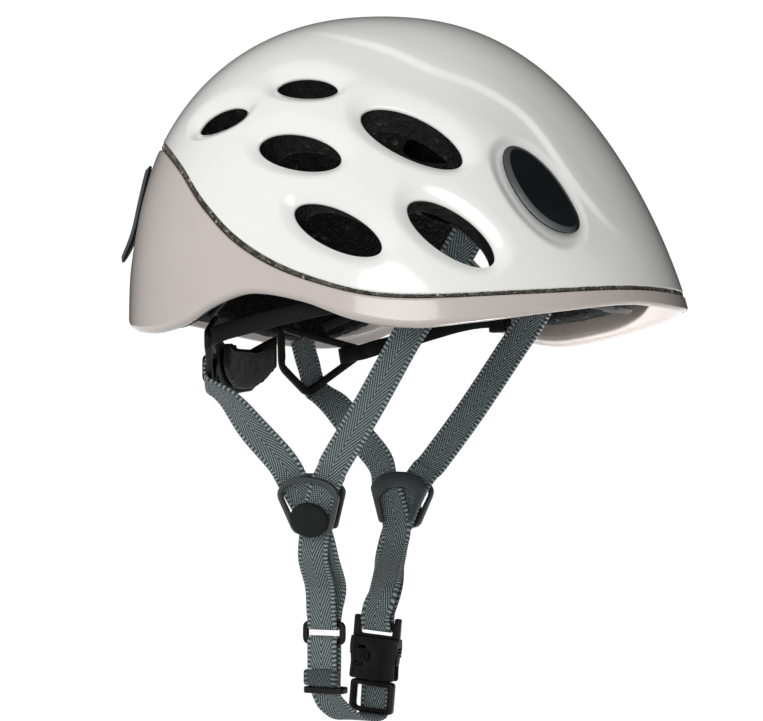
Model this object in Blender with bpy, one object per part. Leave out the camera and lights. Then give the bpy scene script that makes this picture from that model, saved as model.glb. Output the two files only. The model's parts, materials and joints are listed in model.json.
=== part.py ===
"""Climbing helmet: two-part moulded shell over a foam liner, lamp clips, nape
cradle with a size wheel, Y-straps with dividers, and a side-release chin buckle.

Metres, +Z up. The helmet faces -Y and the wearer's left is +X. The origin is on
the middle plane, at the height of the front rim, midway along the shell.
"""
import bpy
import bmesh
import math
import numpy as np
from mathutils import Vector, Matrix

for _o in list(bpy.data.objects):
    bpy.data.objects.remove(_o, do_unlink=True)

MM = 0.001

# ---------------------------------------------------------------- shell form
HALF_WIDTH = 109.5       # widest half width, outside
FRONT_REACH = 153.0      # crown centre to the front edge
REAR_REACH = 117.0       # crown centre to the rear edge
CROWN_H = 143.7          # top of the crown above the front rim
CROWN_Y = 16.4           # crown centre behind mid length
PLAN_POWER = 1.957
SIDE_POW = (2.18, 2.245)
FRONT_POW = (1.175, 2.52)
REAR_POW = (2.54, 2.17)
# height of the lower edge and of the seam, at angles from the front (degrees)
RIM = [(0, 1.6), (15, 2.6), (30, -1.6), (45, -6.4), (58, -8.8), (70, -5.0), (82, 3.2), (95, 7.2),
       (105, 3.0), (115, -4.4), (126, -7.6), (138, -6.6), (150, -3.2), (165, 1.4), (180, 3.0)]
SEAM = [(0, 10.9), (15, 10.7), (35, 7.4), (55, 5.2), (67, 6.8), (80, 13.6), (90, 21.4), (100, 32.6),
        (110, 47.2), (124, 67.0), (140, 79.5), (155, 84.0), (180, 86.0)]
SEAM_HALF_GAP = 0.8
SKIN = 2.2               # wall of both moulded shells
LINER_GAP = 0.5
LINER_DEPTH = 22.0       # inside face of the foam below the outer surface
# vents: centre on the shell (right side), half length, half width, angle
VENTS = [((-82.2, 55.8, 89.4), 17.1, 7.6, 8.0),
         ((-82.4, 12.2, 101.8), 16.9, 7.3, -10.0),
         ((-98.3, 8.5, 70.5), 22.4, 9.6, -15.0),
         ((-83.8, -40.3, 76.4), 26.6, 11.6, -31.0),
         ((-104.6, -13.5, 34.5), 23.2, 9.6, -26.0),
         ((-89.2, -61.1, 32.6), 23.5, 10.4, -36.0)]
# lamp clips
CLIP_FRONT = (-60.1, -90.8, 51.7)
CLIP_FRONT_ANGLE = -61.0
CLIP_HALF_LEN = 24.0
CLIP_HALF_WID = 11.4
CLIP_THICK = 2.6
CLIP_SEAT_DEPTH = 3.5
CLIP_REAR_TURN = 28.0    # degrees off the middle plane
CLIP_REAR_Z = 51.5
CLIP_TIP_FLARE = 3.4
# straps
WEB_W = 15.0
WEB_T = 1.4
DIVIDER = (-52.0, 23.5, -86.0)
DIVIDER_LEAN = 14.0
SLIDER = (-25.0, 29.2, -145.2)
BUCKLE = (10.5, 19.0, -157.0)
BUCKLE_TILT = 5.0
# nape cradle
BRACKET = (57.5, 71.6, 0.0)
BRACKET_TURN = 24.0
WHEEL = (0.0, 93.6, -21.0)
WHEEL_R = 12.5


# ---------------------------------------------------------------- helpers
def mat(name, rgb, rough, metal=0.0):
    m = bpy.data.materials.new(name)
    m.use_nodes = True
    b = m.node_tree.nodes["Principled BSDF"]
    b.inputs["Base Color"].default_value = (rgb[0], rgb[1], rgb[2], 1)
    b.inputs["Roughness"].default_value = rough
    b.inputs["Metallic"].default_value = metal
    m.diffuse_color = (rgb[0], rgb[1], rgb[2], 1)
    return m


M_WHITE = mat("upper_gloss_white", (0.80, 0.80, 0.77), 0.18)
M_TAUPE = mat("lower_gloss_taupe", (0.52, 0.47, 0.45), 0.2)
M_FOAM = mat("foam_black", (0.02, 0.02, 0.02), 0.8)
M_BLACK = mat("satin_black", (0.012, 0.012, 0.012), 0.42)
M_WEB = mat("webbing_slate", (0.09, 0.11, 0.125), 0.75)
M_PAD = mat("pad_black", (0.02, 0.02, 0.022), 0.9)
M_STEEL = mat("rivet_steel", (0.6, 0.6, 0.6), 0.35, 1.0)

ROOT = bpy.data.objects.new("helmet_root", None)
bpy.context.scene.collection.objects.link(ROOT)


def finish(name, bm, material, origin=(0, 0, 0), mirror=False, smooth=35):
    """Mesh in millimetres -> object in metres with its origin where asked."""
    if mirror:
        for v in bm.verts:
            v.co.x = -v.co.x
        origin = (-origin[0], origin[1], origin[2])
    bmesh.ops.recalc_face_normals(bm, faces=bm.faces)
    o = Vector(origin)
    for v in bm.verts:
        v.co = (v.co - o) * MM
    me = bpy.data.meshes.new(name)
    bm.to_mesh(me)
    bm.free()
    vol = 0.0
    me.calc_loop_triangles()
    for t in me.loop_triangles:
        a, b, c = (me.vertices[i].co for i in t.vertices)
        vol += a.dot(b.cross(c))
    if vol < 0:
        me.flip_normals()
    me.materials.append(material)
    me.shade_smooth()
    me.set_sharp_from_angle(angle=math.radians(smooth))
    ob = bpy.data.objects.new(name, me)
    bpy.context.scene.collection.objects.link(ob)
    ob.location = o * MM
    ob.parent = ROOT
    return ob


def frame_of(origin, x, z):
    """Axes: x kept, z made square to it, y = z cross x."""
    x = Vector(x).normalized()
    z = Vector(z)
    z = (z - x * z.dot(x)).normalized()
    y = z.cross(x)
    m = Matrix((x, y, z)).transposed().to_4x4()
    m.translation = Vector(origin)
    return m


def plate(outer, holes, lo, hi, m, bm=None, chamfer=0.0):
    """Extruded outline with holes: local x, y outline, z from lo to hi."""
    bm = bm or bmesh.new()
    new = bmesh.new()
    edges = []
    for loop in [outer] + list(holes):
        vs = [new.verts.new((p[0], p[1], lo)) for p in loop]
        for i in range(len(vs)):
            edges.append(new.edges.new((vs[i], vs[(i + 1) % len(vs)])))
    bmesh.ops.triangle_fill(new, use_beauty=True, use_dissolve=False, edges=edges)
    faces = list(new.faces)
    r = bmesh.ops.extrude_face_region(new, geom=faces)
    top = [g for g in r["geom"] if isinstance(g, bmesh.types.BMVert)]
    for v in top:
        v.co.z = hi
        if chamfer:
            v.co.x *= 1 - chamfer
            v.co.y *= 1 - chamfer
    bmesh.ops.transform(new, matrix=m, verts=new.verts)
    tmp = bpy.data.meshes.new("t")
    new.to_mesh(tmp)
    new.free()
    bm.from_mesh(tmp)
    bpy.data.meshes.remove(tmp)
    return bm


def ellipse(a, b, n, cx=0.0, cy=0.0, start=0.0):
    return [(cx + a * math.cos(start + 2 * math.pi * i / n), cy + b * math.sin(start + 2 * math.pi * i / n)) for i in range(n)]


def rect(w, h, cx=0.0, cy=0.0, r=0.0):
    if r <= 0:
        return [(cx - w / 2, cy - h / 2), (cx + w / 2, cy - h / 2), (cx + w / 2, cy + h / 2), (cx - w / 2, cy + h / 2)]
    out = []
    for sx, sy, a0 in ((1, -1, -90), (1, 1, 0), (-1, 1, 90), (-1, -1, 180)):
        for k in range(3):
            a = math.radians(a0 + 45 * k)
            out.append((cx + sx * (w / 2 - r) + r * math.cos(a), cy + sy * (h / 2 - r) + r * math.sin(a)))
    return out


def inset_poly(pts, d):
    """Inset a counter-clockwise outline by d."""
    n = len(pts)
    out = []
    for i in range(n):
        p0, p1, p2 = Vector(pts[i - 1]), Vector(pts[i]), Vector(pts[(i + 1) % n])
        e1, e2 = (p1 - p0).normalized(), (p2 - p1).normalized()
        n1, n2 = Vector((-e1.y, e1.x)), Vector((-e2.y, e2.x))
        b = (n1 + n2).normalized()
        out.append(tuple(p1 + b * d / max(0.5, b.dot(n1))))
    return out


def round_poly(pts, r, k=3):
    """Round each corner of an outline with k+1 points."""
    n = len(pts)
    out = []
    for i in range(n):
        p0, p1, p2 = Vector(pts[i - 1]), Vector(pts[i]), Vector(pts[(i + 1) % n])
        a, b = (p0 - p1), (p2 - p1)
        la, lb = a.length, b.length
        d = min(r, la * 0.45, lb * 0.45)
        s, e = p1 + a.normalized() * d, p1 + b.normalized() * d
        for j in range(k + 1):
            t = j / k
            out.append(tuple(s * (1 - t) ** 2 + p1 * 2 * t * (1 - t) + e * t * t))
    return out


def smooth_path(pts, per):
    """Catmull-Rom through points of any length."""
    P = [np.array(p, float) for p in pts]
    P = [2 * P[0] - P[1]] + P + [2 * P[-1] - P[-2]]
    out = []
    for i in range(1, len(P) - 2):
        for k in range(per):
            t = k / per
            a, b, c, d = P[i - 1], P[i], P[i + 1], P[i + 2]
            out.append(0.5 * (2 * b + (c - a) * t + (2 * a - 5 * b + 4 * c - d) * t * t + (3 * b - a - 3 * c + d) * t ** 3))
    out.append(P[-2])
    return out


def ribbon(stations, width, thick, per=2, bm=None):
    """Flat strip. A station is (x, y, z, width-direction x, y, z)."""
    bm = bm or bmesh.new()
    S = smooth_path(stations, per)
    rings = []
    for i, s in enumerate(S):
        p = Vector(s[:3])
        a = Vector(S[max(0, i - 1)][:3])
        b = Vector(S[min(len(S) - 1, i + 1)][:3])
        t = (b - a).normalized()
        w = Vector(s[3:6])
        w = (w - t * w.dot(t)).normalized()
        n = t.cross(w).normalized()
        rings.append([bm.verts.new(p + w * sx * width / 2 + n * sn * thick / 2)
                      for sx, sn in ((-1, -1), (1, -1), (1, 1), (-1, 1))])
    for a, b in zip(rings[:-1], rings[1:]):
        for k in range(4):
            bm.faces.new((a[k], a[(k + 1) % 4], b[(k + 1) % 4], b[k]))
    bm.faces.new(rings[0][::-1])
    bm.faces.new(rings[-1])
    return bm


def boolean(ob, cutter, op="DIFFERENCE"):
    cutter.hide_render = True
    cutter.display_type = "WIRE"
    md = ob.modifiers.new(op.lower(), "BOOLEAN")
    md.operation = op
    md.solver = "EXACT"
    md.object = cutter


# ---------------------------------------------------------------- shell surface
def table(knots, deg):
    """Smooth curve through (angle, height) knots."""
    xs = [k[0] for k in knots]
    ys = [k[1] for k in knots]
    n = len(xs)
    i = 0
    while i < n - 2 and deg > xs[i + 1]:
        i += 1

    def slope(j):
        if j == 0 or j == n - 1:
            return 0.0
        return (ys[j + 1] - ys[j - 1]) / (xs[j + 1] - xs[j - 1])
    h = xs[i + 1] - xs[i]
    t = min(1.0, max(0.0, (deg - xs[i]) / h))
    return ((2 * t ** 3 - 3 * t * t + 1) * ys[i] + (t ** 3 - 2 * t * t + t) * h * slope(i)
            + (-2 * t ** 3 + 3 * t * t) * ys[i + 1] + (t ** 3 - t * t) * h * slope(i + 1))


def shrink(u, pw):
    if u <= 0:
        return 1.0
    return max(0.0, 1 - min(u, 1.0) ** pw[0]) ** (1 / pw[1])


def reach(z):
    u = z / CROWN_H
    return HALF_WIDTH * shrink(u, SIDE_POW), FRONT_REACH * shrink(u, FRONT_POW), REAR_REACH * shrink(u, REAR_POW)


def surface(phi, z):
    """Point on the outside; phi in radians from the front, positive to the right (-X)."""
    a, f, r = reach(z)
    c, s = math.cos(phi), math.sin(phi)
    b = f if c >= 0 else r
    a, b = max(a, 1e-6), max(b, 1e-6)
    k = ((abs(s) / a) ** PLAN_POWER + (abs(c) / b) ** PLAN_POWER) ** (-1 / PLAN_POWER)
    return Vector((-k * s, CROWN_Y - k * c, z))


def level(p):
    a, f, r = reach(p.z)
    if p.z >= CROWN_H:
        return 1.0
    b = f if p.y < CROWN_Y else r
    a, b = max(a, 1e-6), max(b, 1e-6)
    return (abs(p.x) / a) ** PLAN_POWER + (abs(p.y - CROWN_Y) / b) ** PLAN_POWER - 1


def normal(p):
    e = 0.4
    g = Vector([level(p + Vector(d) * e) - level(p - Vector(d) * e) for d in ((1, 0, 0), (0, 1, 0), (0, 0, 1))])
    return g.normalized() if g.length > 1e-9 else Vector((0, 0, 1))


def tangent_frame(centre, angle):
    """x along the long axis, z outwards; angle from the forward tangent, positive up."""
    c = Vector(centre)
    n = normal(c)
    fwd = Vector((0, 0, 1)).cross(n)
    if fwd.y > 0:
        fwd = -fwd
    fwd.normalize()
    up = n.cross(fwd)
    if up.z < 0:
        up = -up
    a = math.radians(angle)
    return frame_of(c, fwd * math.cos(a) + up * math.sin(a), n)


def rear_clip_centre():
    best = None
    for i in range(900, 1800):
        p = surface(math.radians(i / 10), CLIP_REAR_Z)
        n = normal(p)
        d = abs(math.degrees(math.atan2(-n.x, n.y)) - CLIP_REAR_TURN)
        if best is None or d < best[0]:
            best = (d, p)
    return best[1]


CLIP_REAR = tuple(rear_clip_centre())
SEATS = []
for _c, _a in ((CLIP_FRONT, CLIP_FRONT_ANGLE), (CLIP_REAR, -90.0)):
    _m = tangent_frame(_c, _a)
    _n = Vector(_m.col[2][:3])
    SEATS.append((Vector(_c), _n))
    SEATS.append((Vector((-_c[0], _c[1], _c[2])), Vector((-_n.x, _n.y, _n.z))))


def seated(p, extra):
    """Flat lamp-clip seats pressed into the surface."""
    for c, n in SEATS:
        s = (p - c).dot(n) + CLIP_SEAT_DEPTH + extra
        if s > 0:
            p = p - n * s
    return p


def skin_point(phi, z, depth, seats=True):
    p = surface(phi, z)
    q = p - normal(p) * depth
    return seated(q, depth) if seats else q


def dome(lower, depth, rows, cols, seats, bm):
    """Rings of vertices from a lower edge up to the crown; returns rings and the pole."""
    rings = []
    for j in range(rows):
        s = j / rows
        ring = []
        for i in range(cols):
            phi = 2 * math.pi * i / cols
            deg = math.degrees(phi if phi <= math.pi else 2 * math.pi - phi)
            z0 = lower(deg)
            z = z0 + (CROWN_H - z0) * (1 - (1 - s) ** 1.9)
            ring.append(bm.verts.new(skin_point(phi, z, depth, seats)))
        rings.append(ring)
    pole = bm.verts.new((0, CROWN_Y, CROWN_H - depth))
    return rings, pole


def join_rings(bm, a, b):
    """Triangles between two rings, split alike on every layer and mirrored left to right."""
    n = len(a)
    for i in range(n):
        k = (i + 1) % n
        if i < n // 2:
            bm.faces.new((a[i], a[k], b[k]))
            bm.faces.new((a[i], b[k], b[i]))
        else:
            bm.faces.new((a[i], a[k], b[i]))
            bm.faces.new((a[k], b[k], b[i]))


def fan(bm, ring, pole):
    n = len(ring)
    for i in range(n):
        bm.faces.new((ring[i], ring[(i + 1) % n], pole))


COLS = 44


def vent_cutter(name, grow, lo, hi, sides=18):
    bm = bmesh.new()
    for c, a, b, ang in VENTS:
        m = tangent_frame(c, ang)
        plate(ellipse(a + grow, b + grow, sides), [], lo, hi, m, bm)
    geom = bmesh.ops.duplicate(bm, geom=bm.verts[:] + bm.edges[:] + bm.faces[:])["geom"]
    for g in geom:
        if isinstance(g, bmesh.types.BMVert):
            g.co.x = -g.co.x
    bmesh.ops.recalc_face_normals(bm, faces=bm.faces)
    ob = finish(name, bm, M_FOAM)
    return ob


# ---------------------------------------------------------------- upper shell
bm = bmesh.new()
up_edge = lambda d: table(SEAM, d) + SEAM_HALF_GAP
out_r, out_p = dome(up_edge, 0.0, 9, COLS, True, bm)
in_r, in_p = dome(up_edge, SKIN, 9, COLS, True, bm)
for a, b in zip(out_r[:-1], out_r[1:]):
    join_rings(bm, a, b)
fan(bm, out_r[-1], out_p)
for a, b in zip(in_r[:-1], in_r[1:]):
    join_rings(bm, a, b)
fan(bm, in_r[-1], in_p)
join_rings(bm, in_r[0], out_r[0])
upper = finish("upper_shell", bm, M_WHITE)
boolean(upper, vent_cutter("cut_vents_shell", 0.0, -12, 10))

# ---------------------------------------------------------------- lower shell
FLANGE_T = 2.0


def flange(deg):
    """Inward return of the lower edge: wide under the brim, narrow round the sides."""
    t = min(1.0, deg / 62.0)
    return 4.0 + 13.0 * (0.5 + 0.5 * math.cos(math.pi * t))


bm = bmesh.new()
loops = []
LOW_ROWS = 4
for i in range(COLS):
    phi = 2 * math.pi * i / COLS
    deg = math.degrees(phi if phi <= math.pi else 2 * math.pi - phi)
    z0, z1 = table(RIM, deg), table(SEAM, deg) - SEAM_HALF_GAP
    prof = []
    for j in range(LOW_ROWS + 1):
        prof.append(skin_point(phi, z0 + (z1 - z0) * j / LOW_ROWS, 0.0))
    for j in range(LOW_ROWS, 0, -1):
        z = z0 + (z1 - z0) * j / LOW_ROWS
        prof.append(skin_point(phi, max(z, z0 + FLANGE_T + 0.2), SKIN))
    prof.append(skin_point(phi, z0 + FLANGE_T, SKIN))
    w = flange(deg)
    q = skin_point(phi, z0, 0.0)
    n = normal(q)
    n.z = 0
    n.normalize()
    prof.append(q - n * w + Vector((0, 0, FLANGE_T)))
    prof.append(q - n * w)
    loops.append([bm.verts.new(p) for p in prof])
for i in range(COLS):
    a, b = loops[i], loops[(i + 1) % COLS]
    k = len(a)
    for j in range(k):
        h = (j + 1) % k
        # outer wall rows climb, inner wall rows come down: keep the same diagonals
        if (i < COLS // 2) == (j < LOW_ROWS):
            bm.faces.new((a[j], b[j], b[h]))
            bm.faces.new((a[j], b[h], a[h]))
        else:
            bm.faces.new((a[j], b[j], a[h]))
            bm.faces.new((b[j], b[h], a[h]))
finish("lower_shell", bm, M_TAUPE)

# ---------------------------------------------------------------- foam liner
bm = bmesh.new()
foam_edge = lambda d: table(RIM, d) + FLANGE_T + 1.0
fo_r = []
for j in range(LOW_ROWS + 1):
    ring = []
    for i in range(COLS):
        phi = 2 * math.pi * i / COLS
        deg = math.degrees(phi if phi <= math.pi else 2 * math.pi - phi)
        z0, z1 = table(RIM, deg), table(SEAM, deg) - SEAM_HALF_GAP
        z = z0 + (z1 - z0) * j / LOW_ROWS
        ring.append(bm.verts.new(skin_point(phi, max(z, foam_edge(deg) + 0.25 * j), SKIN + LINER_GAP)))
    fo_r.append(ring)
more, fo_p = dome(up_edge, SKIN + LINER_GAP, 9, COLS, True, bm)
fo_r += more
fi_r, fi_p = dome(foam_edge, LINER_DEPTH, 9, COLS, False, bm)
for i, v in enumerate(fi_r[0]):
    d = 360.0 * i / COLS
    v.co.z = max(v.co.z, foam_edge(min(d, 360 - d)))
for a, b in zip(fo_r[:-1], fo_r[1:]):
    join_rings(bm, a, b)
fan(bm, fo_r[-1], fo_p)
for a, b in zip(fi_r[:-1], fi_r[1:]):
    join_rings(bm, a, b)
fan(bm, fi_r[-1], fi_p)
join_rings(bm, fi_r[0], fo_r[0])
liner = finish("foam_liner", bm, M_FOAM)
boolean(liner, vent_cutter("cut_vents_foam", 0.0, -44, 10))

# ---------------------------------------------------------------- lamp clips
CLIP_BASE = (0.35, 1.75)
CLIP_PLATE_LO = 2.05
HINGE_X = -21.5


def clip_parts(side, where, seat_c, angle):
    m = tangent_frame(seat_c, angle)
    n = Vector(m.col[2][:3])
    m.translation = Vector(seat_c) - n * CLIP_SEAT_DEPTH
    flip = side == "left"
    # base: a thin oval foot under the upper half
    base = [(x, y) for x, y in ellipse(CLIP_HALF_LEN - 4.2, CLIP_HALF_WID - 1.6, 24)]
    base = [(min(x, 1.0), y) for x, y in base]
    base = [p for i, p in enumerate(base) if not (p[0] == 1.0 and base[i - 1][0] == 1.0 and base[(i + 1) % 24][0] == 1.0)]
    finish(f"lamp_clip_base_{where}_{side}", plate(base, [], CLIP_BASE[0], CLIP_BASE[1], m), M_BLACK, mirror=flip)
    # plate: oval tongue with a bevelled face whose lower tip flares off the shell
    b2 = bmesh.new()
    N = 24
    rings = []
    for sc, h in ((1.0, 0.0), (1.0, CLIP_THICK * 0.45), (0.86, CLIP_THICK), (0.45, CLIP_THICK + 0.25)):
        ring = []
        for k in range(N):
            a = 2 * math.pi * k / N
            x, y = CLIP_HALF_LEN * sc * math.cos(a), CLIP_HALF_WID * sc * math.sin(a)
            ring.append(b2.verts.new((x, y, CLIP_PLATE_LO + h)))
        rings.append(ring)
    inner = []
    for sc in (0.55,):
        inner.append([b2.verts.new((CLIP_HALF_LEN * sc * math.cos(2 * math.pi * k / N), CLIP_HALF_WID * sc * math.sin(2 * math.pi * k / N), CLIP_PLATE_LO)) for k in range(N)])
    for a, b in zip(rings[:-1], rings[1:]):
        join_rings(b2, a, b)
    top = b2.verts.new((0, 0, CLIP_PLATE_LO + CLIP_THICK + 0.3))
    fan(b2, rings[-1], top)
    join_rings(b2, inner[0], rings[0])
    low = b2.verts.new((0, 0, CLIP_PLATE_LO))
    fan(b2, inner[0][::-1], low)
    for v in b2.verts:
        if v.co.x > 4:
            v.co.z += CLIP_TIP_FLARE * ((v.co.x - 4) / (CLIP_HALF_LEN - 4)) ** 2
    bmesh.ops.transform(b2, matrix=m, verts=b2.verts)
    hinge = m @ Vector((HINGE_X, 0, CLIP_PLATE_LO))
    finish(f"lamp_clip_{where}_{side}", b2, M_BLACK, origin=tuple(hinge), mirror=flip, smooth=30)


for side in ("right", "left"):
    clip_parts(side, "front", CLIP_FRONT, CLIP_FRONT_ANGLE)
    clip_parts(side, "rear", CLIP_REAR, -90.0)

# ---------------------------------------------------------------- dividers
_l = math.radians(DIVIDER_LEAN)
DIV_OUT = Vector((-math.cos(_l), 0, -math.sin(_l)))
DIV_DOWN = Vector((math.sin(_l), 0, -math.cos(_l)))
DIV_FWD = Vector((0, -1, 0))


def div_point(u, w, n):
    """Forward, down and outward from the divider's centre, in millimetres."""
    return Vector(DIVIDER) + DIV_FWD * u + DIV_DOWN * w + DIV_OUT * n


M_DIV = Matrix((DIV_FWD, -DIV_DOWN, DIV_OUT)).transposed().to_4x4()
M_DIV.translation = Vector(DIVIDER)
DIV_OUTLINE = round_poly([(-15.6, 6.5), (-11.0, 12.4), (-3.5, 14.6), (4.5, 14.3), (12.5, 11.6), (16.6, 6.0),
                          (10.0, -12.6), (-8.6, -12.6)][::-1], 3.0, 2)
DIV_WINDOW = round_poly([(-11.8, 6.0), (-8.6, 9.4), (-2.5, 11.2), (4.0, 11.0), (10.0, 8.6), (12.6, 5.0),
                         (7.4, -8.2), (-6.4, -8.2)][::-1], 2.0, 1)
DIV_BACK_WIN = round_poly([(-9.6, 3.0), (-4.0, 6.8), (4.6, 6.8), (10.0, 3.0), (8.4, -2.0), (-7.8, -2.0)][::-1], 1.5, 1)

for side in ("right", "left"):
    flip = side == "left"
    finish(f"divider_frame_{side}", plate(DIV_OUTLINE, [DIV_WINDOW], 0.6, 3.0, M_DIV, chamfer=0.03), M_BLACK, mirror=flip)
    finish(f"divider_back_{side}", plate(inset_poly(DIV_OUTLINE[::-1], 0.6)[::-1], [DIV_BACK_WIN], -6.9, -5.3, M_DIV), M_BLACK, mirror=flip)
    # round lock cap, a shallow dome over the lower half, hinged at its lower edge
    cap = bmesh.new()
    N = 20
    rr = []
    for sc, h in ((0.97, 3.35), (1.0, 4.2), (0.93, 5.3), (0.72, 6.2), (0.4, 6.7)):
        rr.append([cap.verts.new((9.6 * sc * math.cos(2 * math.pi * k / N) + 0.7, 8.2 * sc * math.sin(2 * math.pi * k / N) - 5.4, h)) for k in range(N)])
    for a, b in zip(rr[:-1], rr[1:]):
        join_rings(cap, a, b)
    t = cap.verts.new((0.7, -5.4, 6.85))
    fan(cap, rr[-1], t)
    cap.faces.new(rr[0][::-1])
    bmesh.ops.transform(cap, matrix=M_DIV, verts=cap.verts)
    finish(f"divider_cap_{side}", cap, M_BLACK, origin=tuple(M_DIV @ Vector((0.7, -13.6, 3.35))), mirror=flip, smooth=40)

# ---------------------------------------------------------------- webbing
FRONT_ANCHOR = (-55.6, -60.6, 42.0)
TAB_T = 2.6
BAR_X = SLIDER[0]
SL_TOP = SLIDER[2] + 5.5
SL_T = 2.4
WRAP = SL_T / 2 + 0.65 + WEB_T / 2


def side_webbing(end_bar, lean, tilt):
    """One strip per side: front anchor, divider, round the chin bar, back through
    the divider and up to the nape bracket. end_bar is the chin bar's centre."""
    W = (0, -1, 0)
    V = (0, -math.cos(tilt), -math.sin(tilt))
    bx, by, bz = end_bar
    pts = []

    def add(p, w=W):
        pts.append((p[0], p[1], p[2], w[0], w[1], w[2]))
    add(FRONT_ANCHOR, (0.35, -0.75, -0.6))
    add((-62.0, -53.2, 26.0), (0.2, -0.8, -0.55))
    add((-65.0, -43.5, 8.0), (0.1, -0.85, -0.5))
    add((-65.2, -30.5, -10.0), (0.0, -0.82, -0.55))
    add((-61.5, -10.5, -40.0), (0.0, -0.82, -0.55))
    add((-57.6, 8.0, -65.5), (0.0, -0.84, -0.52))
    add(div_point(8.4, -15.5, -1.4), (0.0, -0.9, -0.42))
    add(div_point(5.0, -8.5, -1.5), (0.0, -0.95, -0.3))
    add(div_point(1.2, 2.0, -1.5), (0.0, -1.0, -0.06))
    add(div_point(-0.3, 14.0, -1.6))
    add((-43.6, 26.0, -110.7))
    add((bx - WRAP - 10.0 * lean, by - 0.8, bz + 17.0))
    add((bx - WRAP - 1.0, by, bz + 6.0), V)
    add((bx - WRAP, by, bz + 1.0), V)
    add((bx - WRAP * 0.72, by, bz - WRAP * 0.72), V)
    add((bx, by, bz - WRAP), V)
    add((bx + WRAP * 0.72, by, bz - WRAP * 0.72), V)
    add((bx + WRAP, by, bz + 1.0), V)
    add((bx + WRAP + 0.5, by - 0.4, bz + 6.0), V)
    add((bx + WRAP - 5.5 * lean + 1.0, by - 3.0, bz + 17.0))
    add((-38.6, 22.6, -110.7))
    add(div_point(0.6, 14.0, -3.9))
    add(div_point(-1.0, 2.0, -3.7), (0.0, -1.0, 0.06))
    add(div_point(-5.6, -9.0, -3.6), (0.0, -0.86, 0.5))
    add((-54.6, 36.5, -66.0), (0.0, -0.72, 0.68))
    add((-56.4, 50.0, -51.5), (-0.1, -0.70, 0.68))
    for t, z, n in ((4.1, -38.5, -9.2), (1.4, -32.4, -1.2), (0.2, -30.4, 1.7), (-1.0, -27.6, 2.7), (-2.6, -24.0, 2.5), (-5.0, -19.0, 1.4)):
        c, sn = math.cos(math.radians(BRACKET_TURN)), math.sin(math.radians(BRACKET_TURN))
        p = (-BRACKET[0] - t * c - n * sn, BRACKET[1] - t * sn + n * c, BRACKET[2] + z)
        k = 1.0 if n > -5 else 0.55
        add(p, (-0.786 * k, -0.35 - 0.35 * (1 - k), 0.51))
    return pts


BUCKLE_AXIS = Vector((0, math.sin(math.radians(BUCKLE_TILT)), -math.cos(math.radians(BUCKLE_TILT))))
M_BUC = Matrix((Vector((0, -math.cos(math.radians(BUCKLE_TILT)), -math.sin(math.radians(BUCKLE_TILT)))),
                -BUCKLE_AXIS, Vector((-1, 0, 0)))).transposed().to_4x4()
M_BUC.translation = Vector(BUCKLE)


def buc(u, w, n):
    return M_BUC @ Vector((u, -w, n))


FEM_BAR = buc(0, -13.6, 0)
right_pts = side_webbing((BAR_X, SLIDER[1], SL_TOP - 1.0), 0.42, 0.0)
finish("webbing_right", ribbon(right_pts, WEB_W, WEB_T), M_WEB, smooth=50)
left_pts = side_webbing((-FEM_BAR.x, FEM_BAR.y, FEM_BAR.z), 0.78, math.radians(BUCKLE_TILT))
finish("webbing_left", ribbon(left_pts, WEB_W, WEB_T), M_WEB, mirror=True, smooth=50)

# front strap anchors: a plate and a stud let into the foam behind the strap's end
for side in ("right", "left"):
    m = frame_of((-50.8, -62.6, 48.4), (0.35, -0.75, -0.6), (0.8, 0.5, -0.25))
    finish(f"strap_anchor_{side}", plate(round_poly(rect(20, 9), 2.5, 2), [rect(15.8, 2.6)], -1.2, 1.2, m), M_BLACK, mirror=side == "left")

# ---------------------------------------------------------------- chin slider and keeper
M_SL = Matrix((Vector((0, -1, 0)), Vector((0, 0, 1)), Vector((-1, 0, 0)))).transposed().to_4x4()
M_SL.translation = Vector(SLIDER)
finish("chin_slider", plate(round_poly(rect(21.6, 11.0), 3.2, 3), [rect(16.0, 7.0)], -SL_T / 2, SL_T / 2, M_SL), M_BLACK)
KEEPER_Z = SLIDER[2] - 26.6
m = Matrix.Translation(Vector((SLIDER[0] + 2.2, SLIDER[1] + 0.3, KEEPER_Z)))
finish("strap_keeper", plate(round_poly(rect(8.4, 20.4), 2.4, 2), [round_poly(rect(5.2, 17.0), 1.4, 1)], -1.5, 1.5, m), M_BLACK)

# tail strip: round the slider's lower bar, the outer leg ends in a folded tab
LB_Z = SLIDER[2] - 4.5
lower = []
for p in ((BAR_X + WRAP + 0.1, SLIDER[1] + 0.3, KEEPER_Z - 0.2), (BAR_X + WRAP, SLIDER[1], LB_Z - 10.0), (BAR_X + WRAP, SLIDER[1], LB_Z - 1.0),
          (BAR_X + WRAP * 0.72, SLIDER[1], LB_Z + WRAP * 0.72), (BAR_X, SLIDER[1], LB_Z + WRAP),
          (BAR_X - WRAP * 0.72, SLIDER[1], LB_Z + WRAP * 0.72), (BAR_X - WRAP, SLIDER[1], LB_Z - 1.0),
          (BAR_X - WRAP + 0.1, SLIDER[1], LB_Z - 9.0), (BAR_X - WRAP + 0.2, SLIDER[1], LB_Z - 12.0)):
    lower.append((p[0], p[1], p[2], 0, -1, 0))
finish("chin_strap_tail", ribbon(lower, WEB_W, WEB_T), M_WEB, smooth=50)
m = Matrix((Vector((0, -1, 0)), Vector((0, 0, 1)), Vector((-1, 0, 0)))).transposed().to_4x4()
m.translation = Vector((BAR_X - WRAP + 0.4, SLIDER[1] + 0.4, LB_Z - 16.0))
finish("strap_end_tab", plate(round_poly(rect(17.0, 7.0), 1.2, 1), [], -2.0, 1.6, m), M_WEB)

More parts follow.
